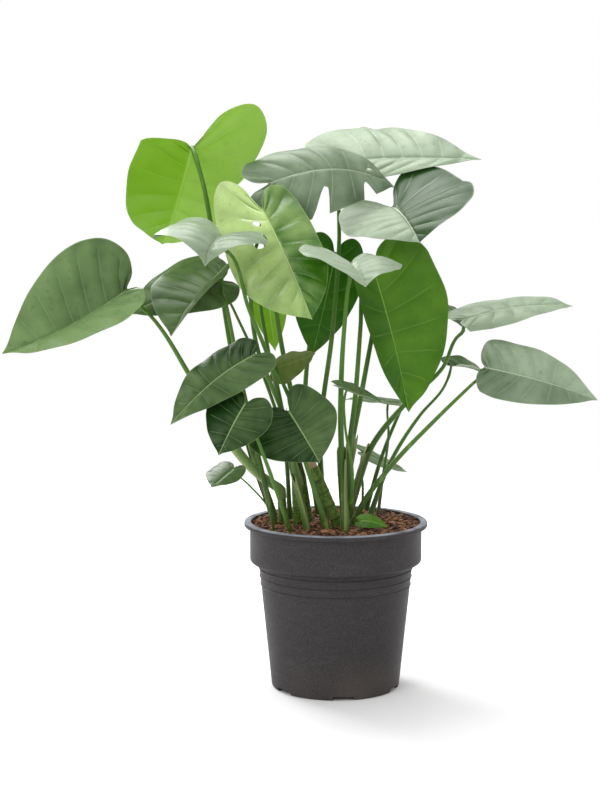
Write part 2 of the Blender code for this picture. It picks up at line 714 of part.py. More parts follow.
def main():
    for old in list(bpy.data.objects):
        bpy.data.objects.remove(old)
    add_pot(material("pot_plastic", (0.045, 0.043, 0.045), 0.5))
    add_soil(material("soil", (0.12, 0.06, 0.035), 0.95))
    leaf_green = material("leaf_green", (0.07, 0.17, 0.05), 0.4)
    stalk_green = material("stalk_green", (0.12, 0.22, 0.05), 0.45)
    for name, cane in CANES.items():
        add_tube("cane_" + name, cane_route(name), [cane.radius, CANE_TAPER * cane.radius], stalk_green)
    for name in STALKS:
        route = stalk_route(name, STALK_PLACES)
        add_tube("stalk_" + name, route, stalk_radii(name, STALK_PLACES), stalk_green)
    for name, blade in BLADES.items():
        add_blade(name, blade, leaf_green)


main()
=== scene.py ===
"""A potted monstera in a dark nursery pot: ribbed leaf blades with pale midribs on long stalks,
short ringed canes, papery sheaths and a mound of coarse coir soil, in soft studio light.

Metres, +Z up, plant front towards -Y. Blades and stalks are placed from the middle of the soil.
"""

import math
import random
from collections import namedtuple

import bmesh
import bpy
import numpy as np
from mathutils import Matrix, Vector, noise


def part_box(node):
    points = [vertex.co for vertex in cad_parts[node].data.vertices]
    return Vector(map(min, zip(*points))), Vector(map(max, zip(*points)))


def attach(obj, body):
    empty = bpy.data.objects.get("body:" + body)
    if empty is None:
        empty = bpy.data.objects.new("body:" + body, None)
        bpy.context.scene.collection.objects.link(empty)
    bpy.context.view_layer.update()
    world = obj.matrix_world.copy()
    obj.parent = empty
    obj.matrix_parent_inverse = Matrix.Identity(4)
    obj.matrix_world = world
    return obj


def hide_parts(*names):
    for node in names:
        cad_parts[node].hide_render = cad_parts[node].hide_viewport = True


# Pot
LIP_OVERHANG = 0.0065
LIP_HEIGHT = 0.0055
LIP_ROUND = 0.0012
COLLAR_DEPTH = 0.049
SHOULDER_STEP = 0.010
SHOULDER_RISE = 0.006
SHOULDER_ROUND = 0.004
BODY_TAPER = 0.015
POT_WALL = 0.0014
RIB_COUNT = 3
RIB_SPACING = 0.0095
RIB_DEPTH = 0.0007
BASE_ROUND = 0.003
CHANNEL_COUNT = 6
CHANNEL_WIDTH = 0.024
CHANNEL_HEIGHT = 0.0045
CHANNEL_START = 0.046
CHANNEL_TURN = 0.1
CHANNEL_ROOF = 0.0014
DRAIN_RADIUS = 0.005
POT_SEGMENTS = 144

# Soil
SOIL_DROP = 0.006
SOIL_CROWN = 0.005
SOIL_RINGS = 46
SOIL_LUMP = 0.0036
CHIP_COUNT = 1300
CHIP_SIZE = (0.0042, 0.0022, 0.0011)
CHIP_EDGE = 0.0004
CHIP_SEED = 11
FIBRE_COUNT = 620
FIBRE_LENGTH = 0.013
FIBRE_RADIUS = 0.00017
FIBRE_SEED = 23

# Plant
BLADE_THICKNESS = 0.0006
BLADE_COLUMNS = 26
BLADE_ROWS = 110
STALK_SIDES = 14
STALK_RINGS = 64
SHEATH_END = 0.4
SHEATH_THICKNESS = 0.0004
STALK_GROOVE = 0.16
JOINT_SWELL = 0.22
STRAIGHT_RADII = 2
NECK_RADII = 5
CLEARANCE = 0.0004
SEAT_GAP = 0.0006
FOOT_DEPTH = 0.006
RINGS_ON_CANE = 5
CANE_TAPER = 0.92
NERVE_WIDTH = 0.0013
NERVE_DEPTH = 0.0008
NERVE_HOLLOW = 0.0016
VEIN_RELIEF = 0.015
SMALL_BLADE = 0.075
DOUBLED = 1e-6

# Studio
FLOOR_SIZE = 3.2
CAMERA_PLACE = (-0.041, -2.0, 0.548)
CAMERA_TARGET = (-0.041, 0.0, 0.331)
CAMERA_LENS = 79.4

# Half of a flat blade, from the notch where the stalk joins, round the rear lobe, to the tip:
# across as a share of the half width, along as a share of the midrib.
HALF_BLADE = (
    (0.03, -0.01),
    (0.17, -0.12),
    (0.46, -0.17),
    (0.79, -0.10),
    (0.96, 0.04),
    (1.00, 0.22),
    (0.90, 0.44),
    (0.67, 0.66),
    (0.35, 0.84),
    (0.10, 0.945),
    (0.0, 1.0),
)
LOBE_VEINS = 0.24
VEIN_SWEEP = 1.3
FLARE_END = 0.45
REAR_FLATTENING = 6
LOBE_VEIN_ROOT = 0.05
LIFT_END = 0.4
HOOK_START = 0.75
LEAST_CURL = 1e-4

Blade = namedtuple(
    "Blade",
    "base tip face half fold curl arch lobe flare lift belly hook",
    defaults=((0, 0), (0, 0), 0.0, (1, 1), (0, 0), (0, 0), 1.0, 0.0),
)

BLADES = {
    "far_left": Blade(
        (-0.232, -0.05, 0.273), (-0.363, -0.10, 0.206), (-0.3, -0.6, 0.74), (0.038, 0.075),
        fold=(5, 55), curl=(-15, -15), arch=-0.05, lobe=(0.5, 0.8),
    ),
    "left_back": Blade(
        (-0.128, -0.02, 0.282), (-0.233, -0.03, 0.244), (-0.2, -0.6, 0.75), (0.035, 0.052),
        fold=(-10, 10), curl=(-20, -20), arch=0.06, lobe=(0.8, 0.6),
    ),
    "left_front": Blade(
        (-0.127, -0.034, 0.288), (-0.180, -0.104, 0.225), (-0.2, -0.9, 0.3), (0.03, 0.068),
        fold=(80, 0), curl=(-20, -35), arch=0.08, belly=0.8,
    ),
    "left_small": Blade(
        (-0.125, -0.10, 0.332), (-0.139, -0.17, 0.308), (0.0, -0.6, 0.8), (0.055, 0.08),
        fold=(30, 42), curl=(-60, -100), arch=0.1, lobe=(1.4, 2.2), hook=0.08,
    ),
    "top_left": Blade(
        (-0.165, 0.037, 0.432), (-0.205, 0.107, 0.320), (-0.1, 0.75, 0.6), (0.070, 0.06),
        fold=(-10, -10), curl=(-10, -20), arch=-0.08, lobe=(0.3, 3.2), belly=0.75, flare=(-0.15, 2.0),
    ),
    "centre": Blade(
        (-0.083, -0.048, 0.362), (-0.028, -0.1, 0.243), (-0.1, -0.75, 0.6), (0.045, 0.062),
        fold=(5, -5), curl=(-30, -30), arch=0.1, lobe=(1.0, 2.2), belly=0.55,
    ),
    "top_centre": Blade(
        (-0.075, -0.012, 0.390), (0.068, 0.050, 0.386), (0.1, -0.62, 0.78), (0.052, 0.058),
        fold=(20, -10), curl=(-50, -30), arch=0.15, lobe=(0.9, 1.0), belly=1.0, flare=(0, -0.4),
    ),
    "top_right": Blade(
        (0.009, 0.106, 0.418), (0.168, 0.050, 0.418), (0.0, -0.42, 0.9), (0.088, 0.056),
        fold=(25, 0), curl=(-40, -30), arch=0.02, lobe=(2.0, 1.2), belly=2.0,
    ),
    "right_pair": Blade(
        (0.065, 0.02, 0.363), (0.090, -0.06, 0.325), (0.0, -0.7, 0.7), (0.088, 0.07),
        fold=(20, 5), curl=(-20, -20), arch=0.08, lobe=(3.2, 2.8), lift=(0.7, 0), belly=0.7,
    ),
    "centre_small": Blade(
        (0.014, -0.085, 0.303), (0.028, -0.14, 0.280), (0.0, -0.3, 0.95), (0.056, 0.064),
        fold=(30, 35), curl=(-70, -30), arch=0.06, lobe=(1.2, 2.0),
    ),
    "right_hanging": Blade(
        (0.041, -0.01, 0.296), (0.083, 0.0, 0.131), (0.3, -0.93, 0.1), (0.080, 0.026),
        fold=(0, -20), curl=(-15, -20), arch=0.05, lobe=(1.0, 0.1), belly=0.75,
    ),
    "far_right_upper": Blade(
        (0.146, 0.03, 0.234), (0.276, 0.05, 0.249), (-0.1, -0.15, 0.98), (0.055, 0.034),
        fold=(15, 0), curl=(-30, -40), arch=0.06, lobe=(0.6, 0.2), flare=(0, -0.6), belly=0.8,
    ),
    "far_right_back": Blade(
        (0.131, 0.085, 0.247), (0.173, 0.105, 0.218), (0.3, -0.5, 0.8), (0.016, 0.016),
        curl=(-20, -20),
    ),
    "far_right_lower": Blade(
        (0.166, -0.03, 0.185), (0.292, -0.04, 0.149), (0.1, -0.75, 0.65), (0.052, 0.032),
        fold=(0, -20), curl=(-20, -30), arch=0.04, lobe=(0.35, 0.3), flare=(0, -0.3),
    ),
    "right_edge_on": Blade(
        (0.137, 0.07, 0.178), (0.189, 0.10, 0.159), (0.2, -0.15, 0.97), (0.02, 0.02),
        fold=(20, 20), arch=0.08,
    ),
    "low_left_long": Blade(
        (-0.090, -0.11, 0.206), (-0.177, -0.16, 0.136), (-0.3, -0.7, 0.65), (0.03, 0.038),
        fold=(-10, 10), curl=(-20, -30), arch=0.08, lobe=(0.8, 0.8),
    ),
    "low_left_heart": Blade(
        (-0.099, -0.145, 0.157), (-0.126, -0.175, 0.106), (-0.1, -0.85, 0.52), (0.035, 0.037),
        curl=(-20, -20), arch=0.06, lobe=(1.3, 1.3),
    ),
    "low_centre_heart": Blade(
        (-0.053, -0.104, 0.144), (-0.020, -0.134, 0.092), (0.0, -0.8, 0.6), (0.048, 0.056),
        fold=(0, -5), curl=(-15, -15), arch=0.04, lobe=(2.2, 1.4),
    ),
    "olive": Blade(
        (-0.068, -0.054, 0.187), (-0.024, -0.044, 0.202), (0.0, 0.62, 0.78), (0.030, 0.026),
        curl=(-20, -20), belly=0.9,
    ),
    "tiny_left": Blade(
        (-0.113, -0.09, 0.080), (-0.137, -0.11, 0.062), (-0.1, -0.4, 0.9), (0.016, 0.034),
        curl=(-30, -30), lobe=(1.5, 1.0),
    ),
    "pale_hanging": Blade(
        (-0.082, 0.05, 0.290), (-0.070, 0.06, 0.196), (0.1, 0.9, 0.1), (0.024, 0.024),
    ),
    "dark_hanging": Blade(
        (0.0, 0.06, 0.310), (-0.027, 0.07, 0.190), (0.2, -0.9, 0.2), (0.04, 0.045),
        curl=(-20, -20), arch=0.05,
    ),
    "centre_edge_on": Blade(
        (0.010, -0.085, 0.165), (0.050, -0.08, 0.150), (0.3, -0.15, 0.95), (0.019, 0.019),
        fold=(15, 15), lobe=(2.5, 2.5),
    ),
    "low_right": Blade(
        (0.035, 0.09, 0.072), (0.088, 0.11, 0.046), (0.2, -0.3, 0.93), (0.02, 0.02),
    ),
    "low_right_back": Blade(
        (0.064, 0.085, 0.134), (0.012, 0.09, 0.136), (0.1, -0.15, 0.98), (0.015, 0.015),
        lobe=(2.5, 2.5), arch=0.04,
    ),
    "soil_sprout": Blade(
        (0.026, -0.064, 0.017), (0.056, -0.066, 0.010), (0.1, -0.5, 0.86), (0.012, 0.012),
        arch=0.1,
    ),
}


# A cane is a short thick stem. It stands on the soil, at a place given as shares of the rim's
# radius (across, back), and carries one stalk on its top.
Cane = namedtuple("Cane", "foot top radius")

CANES = {
    "left": Cane((-0.57, -0.11), (-0.062, -0.014, 0.034), 0.0056),
    "middle": Cane((-0.42, -0.29), (-0.046, -0.034, 0.052), 0.0050),
    "inner": Cane((-0.29, -0.15), (-0.037, -0.016, 0.050), 0.0048),
    "leaning": Cane((0.02, -0.42), (-0.026, -0.046, 0.074), 0.0068),
}

# A stalk rises from its foot, which is a place on the soil as for a cane, or the name of a cane,
# through its points and ends under the notch of the blade of the same name.
Stalk = namedtuple("Stalk", "foot points foot_radius top_radius")

STALKS = {
    "far_left": Stalk(
        "left",
        ((-0.086, -0.024, 0.062), (-0.118, -0.034, 0.10), (-0.16, -0.04, 0.17), (-0.203, -0.048, 0.24)),
        0.005, 0.0017,
    ),
    "left_back": Stalk(
        (-0.50, 0.08),
        ((-0.06, 0.002, 0.10), (-0.085, -0.01, 0.18), (-0.116, -0.018, 0.25)),
        0.003, 0.0013,
    ),
    "left_front": Stalk(
        (-0.67, -0.29),
        ((-0.088, -0.034, 0.085), (-0.108, -0.048, 0.18), (-0.123, -0.058, 0.26)),
        0.0036, 0.0018,
    ),
    "left_small": Stalk(
        "middle",
        (
            (-0.054, -0.056, 0.10), (-0.072, -0.074, 0.19),
            (-0.097, -0.086, 0.255), (-0.118, -0.094, 0.315),
        ),
        0.0036, 0.0017,
    ),
    "top_left": Stalk(
        (-0.69, 0.15),
        ((-0.095, 0.02, 0.08), (-0.118, 0.024, 0.19), (-0.137, 0.02, 0.31), (-0.152, 0.012, 0.395)),
        0.0042, 0.0024,
    ),
    "centre": Stalk(
        "inner",
        ((-0.06, -0.016, 0.13), (-0.09, -0.02, 0.21), (-0.094, -0.035, 0.30)),
        0.0036, 0.0018,
    ),
    "top_centre": Stalk(
        (-0.13, -0.25),
        ((-0.036, -0.028, 0.10), (-0.058, -0.024, 0.19), (-0.072, -0.024, 0.28), (-0.08, -0.016, 0.35)),
        0.0038, 0.002,
    ),
    "top_right": Stalk(
        (-0.13, 0.08),
        ((-0.018, 0.014, 0.10), (-0.004, 0.022, 0.22), (0.004, 0.045, 0.32), (0.006, 0.085, 0.39)),
        0.0036, 0.002,
    ),
    "right_pair": Stalk(
        (0.13, 0.23),
        ((0.016, 0.022, 0.07), (0.03, 0.025, 0.15), (0.048, 0.032, 0.25), (0.06, 0.03, 0.33)),
        0.004, 0.0019,
    ),
    "centre_small": Stalk(
        (0.09, -0.59),
        ((0.006, -0.06, 0.07), (0.004, -0.064, 0.15), (0.008, -0.076, 0.24), (0.012, -0.082, 0.28)),
        0.0045, 0.0019,
    ),
    "right_hanging": Stalk(
        (0.17, -0.11),
        ((0.014, -0.01, 0.07), (0.022, -0.004, 0.15), (0.028, 0.006, 0.23), (0.031, 0.012, 0.275)),
        0.0038, 0.0021,
    ),
    "far_right_upper": Stalk(
        (0.17, 0.42),
        ((0.045, 0.042, 0.09), (0.085, 0.04, 0.14), (0.125, 0.036, 0.18), (0.141, 0.034, 0.215)),
        0.0048, 0.0018,
    ),
    "far_right_back": Stalk(
        (0.36, 0.59),
        ((0.056, 0.072, 0.07), (0.088, 0.108, 0.14), (0.12, 0.098, 0.215)),
        0.003, 0.0012,
    ),
    "far_right_lower": Stalk(
        (0.19, -0.34),
        ((0.032, -0.036, 0.035), (0.062, -0.036, 0.075), (0.11, -0.032, 0.125), (0.153, -0.026, 0.166)),
        0.0038, 0.0016,
    ),
    "right_edge_on": Stalk(
        (0.38, 0.06),
        ((0.062, 0.03, 0.065), (0.10, 0.062, 0.12), (0.13, 0.071, 0.155)),
        0.0034, 0.0014,
    ),
    "low_left_long": Stalk(
        (-0.32, -0.57),
        ((-0.044, -0.07, 0.06), (-0.058, -0.078, 0.13), (-0.078, -0.088, 0.182)),
        0.0036, 0.0018,
    ),
    "low_left_heart": Stalk(
        (-0.50, -0.67),
        ((-0.064, -0.106, 0.05), (-0.086, -0.142, 0.118)),
        0.0032, 0.0015,
    ),
    "low_centre_heart": Stalk(
        (-0.11, -0.65),
        ((-0.024, -0.076, 0.05), (-0.044, -0.086, 0.112)),
        0.0036, 0.0017,
    ),
    "olive": Stalk(
        "leaning",
        ((-0.043, -0.056, 0.13),),
        0.0042, 0.0018,
    ),
    "tiny_left": Stalk(
        (-0.67, -0.51),
        ((-0.076, -0.062, 0.03), (-0.096, -0.078, 0.058)),
        0.0014, 0.0009,
    ),
    "pale_hanging": Stalk(
        (-0.38, 0.32),
        ((-0.055, 0.038, 0.10), (-0.078, 0.036, 0.20), (-0.086, 0.034, 0.27)),
        0.0034, 0.0018,
    ),
    "dark_hanging": Stalk(
        (-0.19, 0.38),
        ((-0.034, 0.052, 0.10), (-0.03, 0.084, 0.20), (-0.008, 0.088, 0.29)),
        0.0038, 0.002,
    ),
    "centre_edge_on": Stalk(
        (0.12, -0.44),
        ((0.017, -0.074, 0.07), (0.008, -0.086, 0.13)),
        0.0022, 0.0012,
    ),
    "low_right": Stalk(
        (0.32, 0.74),
        ((0.034, 0.088, 0.035),),
        0.002, 0.001,
    ),
    "low_right_back": Stalk(
        (0.48, 0.34),
        ((0.056, 0.052, 0.045), (0.064, 0.078, 0.10)),
        0.0022, 0.0012,
    ),
    "soil_sprout": Stalk(
        (0.23, -0.65),
        (),
        0.0012, 0.0008,
    ),
}


def smooth_curve(points, places):
    """A curve through the points, read at places from 0 to 1."""
    known = np.asarray(points, float)
    known = np.vstack([2 * known[0] - known[1], known, 2 * known[-1] - known[-2]])
    spans = len(points) - 1
    run = np.clip(np.asarray(places, float), 0, 1) * spans
    first = np.minimum(run.astype(int), spans - 1)
    part = (run - first)[..., None]
    a, b, c, d = (known[first + step] for step in range(4))
    return 0.5 * (
        2 * b
        + (c - a) * part
        + (2 * a - 5 * b + 4 * c - d) * part**2
        + (3 * b - a - 3 * c + d) * part**3
    )


def unit(vector):
    return vector / np.linalg.norm(vector, axis=-1, keepdims=True)


def blade_points(blade, side, along_margin, reach):
    """Points on one half of a blade: side is 1 right of the midrib and -1 left of it, seen from
    above with the tip ahead; along_margin runs from the notch to the tip and reach from the
    midrib to the margin."""
    which = 0 if side < 0 else 1
    s, reach = np.broadcast_arrays(np.asarray(along_margin, float), np.asarray(reach, float))
    margin = smooth_curve(HALF_BLADE, s)
    across = margin[..., 0] * (1 + blade.flare[which] * np.clip(1 - s / FLARE_END, 0, 1))
    rear = margin[..., 1] * blade.lobe[which]
    ahead = np.where(margin[..., 1] < 0, rear, np.abs(margin[..., 1]) ** blade.belly)
    past_lobe = np.clip((s - LOBE_VEINS) / (1 - LOBE_VEINS), 0, 1)
    vein_root = LOBE_VEIN_ROOT * np.minimum(s / LOBE_VEINS, 1) + (1 - LOBE_VEIN_ROOT) * past_lobe
    y = vein_root + (ahead - vein_root) * reach**VEIN_SWEEP
    u = across * reach

    base, tip, face = (np.array(values, float) for values in blade[:3])
    length = np.linalg.norm(tip - base)
    ahead_axis = (tip - base) / length
    up_axis = unit(face - face.dot(ahead_axis) * ahead_axis)
    y = y[..., None]
    u = u[..., None]
    behind = np.exp(REAR_FLATTENING * np.minimum(y, 0))
    bow = np.where(y > 0, 4 * y * (1 - y), 4 * (behind - 1) / REAR_FLATTENING)
    slope = np.where(y > 0, 4 * (1 - 2 * y), 4 * behind)
    hook = np.clip((y - HOOK_START) / (1 - HOOK_START), 0, 2) ** 2
    centre = base + length * (ahead_axis * y + up_axis * (blade.arch * bow - blade.hook * hook))
    tangent = unit(ahead_axis + slope * up_axis * blade.arch)
    normal = unit(up_axis - (tangent @ up_axis)[..., None] * tangent)
    beside = np.cross(tangent, normal)
    half = blade.half[which]
    fold = math.radians(blade.fold[which])
    curl = math.radians(blade.curl[which]) or LEAST_CURL
    out = half * (np.sin(fold + curl * u) - math.sin(fold)) / curl
    rise = half * (math.cos(fold) - np.cos(fold + curl * u)) / curl
    rise = rise + blade.lift[which] * half * u * np.clip(1 - s / LIFT_END, 0, 1)[..., None]
    return centre + side * beside * out + normal * rise


def soil_height(out):
    """How high the mound of soil lies above the level at the rim, this far out from the middle."""
    return SOIL_CROWN * (1 - (out / RIM_RADIUS) ** 2)


def standing_place(foot, radius, lean=0):
    """The middle of a round foot that just clears the soil, for a stem that leans by this share."""
    across, back = (share * RIM_RADIUS for share in foot)
    inner_edge = max(math.hypot(across, back) - radius, 0)
    return np.array((across, back, soil_height(inner_edge) + CLEARANCE + lean * radius))


def smooth_route(points, places):
    """A curve through unevenly spaced points, read at places from 0 to 1 of its length."""
    known = np.asarray(points, float)
    steps = np.linalg.norm(np.diff(known, axis=0), axis=1)
    knots = np.concatenate([[0], np.cumsum(steps)])
    speeds = np.diff(known, axis=0) / steps[:, None]
    blended = speeds[:-1] * steps[1:, None] + speeds[1:] * steps[:-1, None]
    inner = blended / (steps[1:] + steps[:-1])[:, None]
    headings = np.vstack([speeds[:1], inner, speeds[-1:]])
    run = np.clip(np.asarray(places, float), 0, 1) * knots[-1]
    k = np.clip(np.searchsorted(knots, run, side="right") - 1, 0, len(steps) - 1)
    t = ((run - knots[k]) / steps[k])[..., None]
    span = steps[k][..., None]
    return (
        (2 * t**3 - 3 * t**2 + 1) * known[k]
        + (t**3 - 2 * t**2 + t) * span * headings[k]
        + (3 * t**2 - 2 * t**3) * known[k + 1]
        + (t**3 - t**2) * span * headings[k + 1]
    )


def cane_route(name):
    """The middle of a cane's foot and of its top."""
    cane = CANES[name]
    upright = standing_place(cane.foot, cane.radius)
    across, back, _ = unit(cane.top - upright)
    lean = math.hypot(across, back)
    return np.array([standing_place(cane.foot, cane.radius, lean), cane.top])


def blade_root(blade):
    """Where a blade's midrib starts, and the direction its upper side faces there."""
    base, tip, face = (np.array(values, float) for values in blade[:3])
    ahead = unit(tip - base)
    up = unit(face - face.dot(ahead) * ahead)
    tangent = unit(ahead + 4 * up * blade.arch)
    return base, unit(up - up.dot(tangent) * tangent)


def stalk_ends(name):
    """The stalk's foot and a point straight over it, and a point under the blade and its top."""
    stalk = STALKS[name]
    if stalk.foot in CANES:
        low, high = cane_route(stalk.foot)
        foot = high + CLEARANCE * unit(high - low)
        start = foot + STRAIGHT_RADII * stalk.foot_radius * unit(high - low)
    else:
        foot = standing_place(stalk.foot, stalk.foot_radius)
        start = foot + (0, 0, STRAIGHT_RADII * stalk.foot_radius)
    base, up = blade_root(BLADES[name])
    droop = max(0, -math.sin(math.radians(min(BLADES[name].fold))))
    top = base - (BLADE_THICKNESS / 2 + SEAT_GAP + droop * stalk.top_radius) * up
    return foot, start, top - STRAIGHT_RADII * stalk.top_radius * up, top


def stalk_route(name, places):
    """Points along a stalk's middle, from the soil or its cane to just under its blade."""
    foot, start, below, top = stalk_ends(name)
    points = [start, *(np.array(point) for point in STALKS[name].points)]
    up = unit(top - below)
    reach = NECK_RADII * STALKS[name].top_radius
    neck = below - reach * unit(up + unit(below - points[-1]))
    return np.vstack([foot, smooth_route([*points, neck, below], places), top])


def stalk_radii(name, places):
    """The stalk's radius at each point of its route, widest in the sheath at its foot."""
    stalk = STALKS[name]
    places = np.concatenate([[0], places, [1]])
    middle = (stalk.foot_radius + stalk.top_radius) / 2
    sheath = middle + (stalk.foot_radius - middle) * (1 - places / SHEATH_END) ** 2
    upper = middle + (stalk.top_radius - middle) * (places - SHEATH_END) / (1 - SHEATH_END)
    return np.where(places < SHEATH_END, sheath, upper)


# The finish, how many side veins each half has, how far the margin waves, the painted light on the left
# half, the right half and the tip (higher for a paler painted sheen, lower for a darker painted shade),
# holes and splits.
# A hole is (side, place along the margin, share of the reach, half length, half width).
# A split is (side, place along the margin, half width, depth).
Look = namedtuple(
    "Look", "finish veins wave pale holes splits", defaults=(8, 0.0012, (0.5, 0.5, 0), (), ())
)

LOOKS = {
    "far_left": Look("dark", 9, 0.0016, (0.75, 0.35, 0.7)),
    "left_back": Look("dark", 8, 0.0012, (0.7, 0.6, 0)),
    "left_front": Look("dark", 9, 0.0012, (0.8, 0.5, -0.1)),
    "left_small": Look("pale", 8, 0.0012, (0.75, 0.85, 0)),
    "top_left": Look("backlit", 9, 0.002, (0.15, 0.9, 0)),
    "centre": Look(
        "bright", 10, 0.0016, (0.4, 0.9, -0.5),
        ((1, 0.42, 0.30, 0.045, 0.13), (1, 0.33, 0.24, 0.018, 0.06)),
    ),
    "top_centre": Look(
        "pale", 9, 0.0014, (0.6, 0.5, 0),
        ((-1, 0.80, 0.40, 0.02, 0.16),), ((1, 0.52, 0.03, 0.62), (1, 0.74, 0.028, 0.55)),
    ),
    "top_right": Look("pale", 9, 0.002, (0.9, 0.8, 0)),
    "right_pair": Look("pale", 9, 0.0016, (-0.4, 0.85, 0)),
    "centre_small": Look("pale", 8, 0.0016, (0.8, 1.1, 0)),
    "right_hanging": Look("vivid", 9, 0.002, (0.5, 0.3, -0.1)),
    "far_right_upper": Look("pale", 9, 0.0012, (0.95, 0.95, 0)),
    "far_right_back": Look("dark", 6),
    "far_right_lower": Look("pale", 9, 0.0012, (0.6, 0.3, 0.5)),
    "right_edge_on": Look("dark", 7),
    "low_left_long": Look("dark", 10, 0.0016, (0.35, 0.15, 0.2)),
    "low_left_heart": Look("dark", 7, 0.0012, (0.2, 0.05, 0)),
    "low_centre_heart": Look("dark", 8, 0.0012, (0.35, 0.1, 0.1)),
    "olive": Look("olive", 7, 0.0012, (0.8, 0.8, 0)),
    "tiny_left": Look("dark", 6, 0.0006),
    "pale_hanging": Look("backlit", 7, 0.0012, (-0.1, 0.4, 0)),
    "dark_hanging": Look("vivid", 8, 0.0012, (0.05, 0.05, 0)),
    "centre_edge_on": Look("dark", 6, 0.0006),
    "low_right": Look("dark", 6, 0.0006),
    "low_right_back": Look("dark", 6, 0.0006),
    "soil_sprout": Look("vivid", 5, 0.0003, (0.3, 0.1, 0)),
}

# Stalks whose lower part is wrapped by a thin sheath: share of the stalk and finish.
SHEATHS = {
    "far_left": (0.34, "sheath_pale"),
    "left_small": (0.30, "sheath_green"),
    "centre": (0.26, "sheath_green"),
    "centre_small": (0.30, "sheath_green"),
    "top_centre": (0.24, "sheath_green"),
    "top_left": (0.26, "sheath_green"),
    "right_pair": (0.26, "sheath_green"),
    "far_right_upper": (0.30, "sheath_green"),
    "low_left_long": (0.30, "sheath_green"),
    "olive": (0.45, "sheath_tan"),
}

# Each leaf finish, for the upper side and the under side: deepest colour, palest colour, ribs,
# roughness, light from behind, its share and, where it differs from the usual, the shine. The
# palest colour is where a blade's tone paints sheen; the grey-green of the pale finish stands in for
# the sheen of the light above, and the pale colours of the backlit finish are a painted highlight.
LEAF_COLOURS = {
    "dark": (
        ((0.006, 0.030, 0.002), (0.17, 0.27, 0.10), (0.25, 0.36, 0.15),
         0.36, (0.12, 0.32, 0.02), 0.10, 0.18),
        ((0.035, 0.084, 0.014), (0.13, 0.19, 0.063), (0.18, 0.25, 0.098),
         0.5, (0.14, 0.34, 0.02), 0.12),
    ),
    "vivid": (
        ((0.030, 0.11, 0.002), (0.12, 0.28, 0.008), (0.20, 0.36, 0.06),
         0.42, (0.16, 0.50, 0.01), 0.2, 0.25),
        ((0.049, 0.12, 0.014), (0.098, 0.20, 0.028), (0.18, 0.29, 0.084),
         0.5, (0.18, 0.50, 0.02), 0.2, 0.25),
    ),
    "bright": (
        ((0.030, 0.12, 0.001), (0.55, 0.72, 0.26), (0.44, 0.58, 0.20),
         0.26, (0.30, 0.62, 0.03), 0.2),
        ((0.098, 0.20, 0.028), (0.24, 0.35, 0.098), (0.29, 0.39, 0.14),
         0.5, (0.30, 0.62, 0.04), 0.2),
    ),
    "pale": (
        ((0.015, 0.056, 0.006), (0.28, 0.36, 0.24), (0.40, 0.48, 0.33),
         0.36, (0.20, 0.44, 0.06), 0.1, 0.25),
        ((0.035, 0.084, 0.021), (0.14, 0.22, 0.084), (0.21, 0.29, 0.13),
         0.5, (0.16, 0.40, 0.04), 0.12),
    ),
    "backlit": (
        ((0.11, 0.22, 0.014), (0.24, 0.36, 0.084), (0.29, 0.41, 0.11),
         0.42, (0.55, 0.85, 0.04), 0.34, 0.3),
        ((0.13, 0.28, 0.008), (0.45, 0.55, 0.29), (0.39, 0.49, 0.21),
         0.5, (0.56, 0.88, 0.05), 0.34, 0.3),
    ),
    "olive": (
        ((0.06, 0.10, 0.010), (0.12, 0.18, 0.030), (0.17, 0.22, 0.060),
         0.45, (0.16, 0.24, 0.02), 0.15, 0.3),
        ((0.08, 0.13, 0.012), (0.16, 0.23, 0.035), (0.20, 0.26, 0.060),
         0.5, (0.16, 0.24, 0.02), 0.15, 0.3),
    ),
}



# Shader helpers


class Value:
    """A number that varies over a surface, which plain arithmetic can work on."""

    def __init__(self, finish, socket):
        self.finish = finish
        self.socket = socket

    def maths(self, operation, *others):
        made = self.finish.add("ShaderNodeMath", {"operation": operation}, dict(enumerate(others)))
        return Value(self.finish, made.outputs[0])

    def __add__(self, other):
        return self.maths("ADD", self, other)

    def __sub__(self, other):
        return self.maths("SUBTRACT", self, other)

    def __rsub__(self, other):
        return self.maths("SUBTRACT", other, self)

    def __mul__(self, other):
        return self.maths("MULTIPLY", self, other)

    __radd__ = __add__
    __rmul__ = __mul__

    def wave(self):
        """0 at each whole number and 1 halfway between."""
        return self.maths("PINGPONG", self, 0.5) * 2

    def rise(self, low, high):
        """A smooth step from 0 at low to 1 at high."""
        made = self.finish.add(
            "ShaderNodeMapRange", {"interpolation_type": "SMOOTHSTEP"},
            {"Value": self, "From Min": low, "From Max": high},
        )
        return Value(self.finish, made.outputs[0])


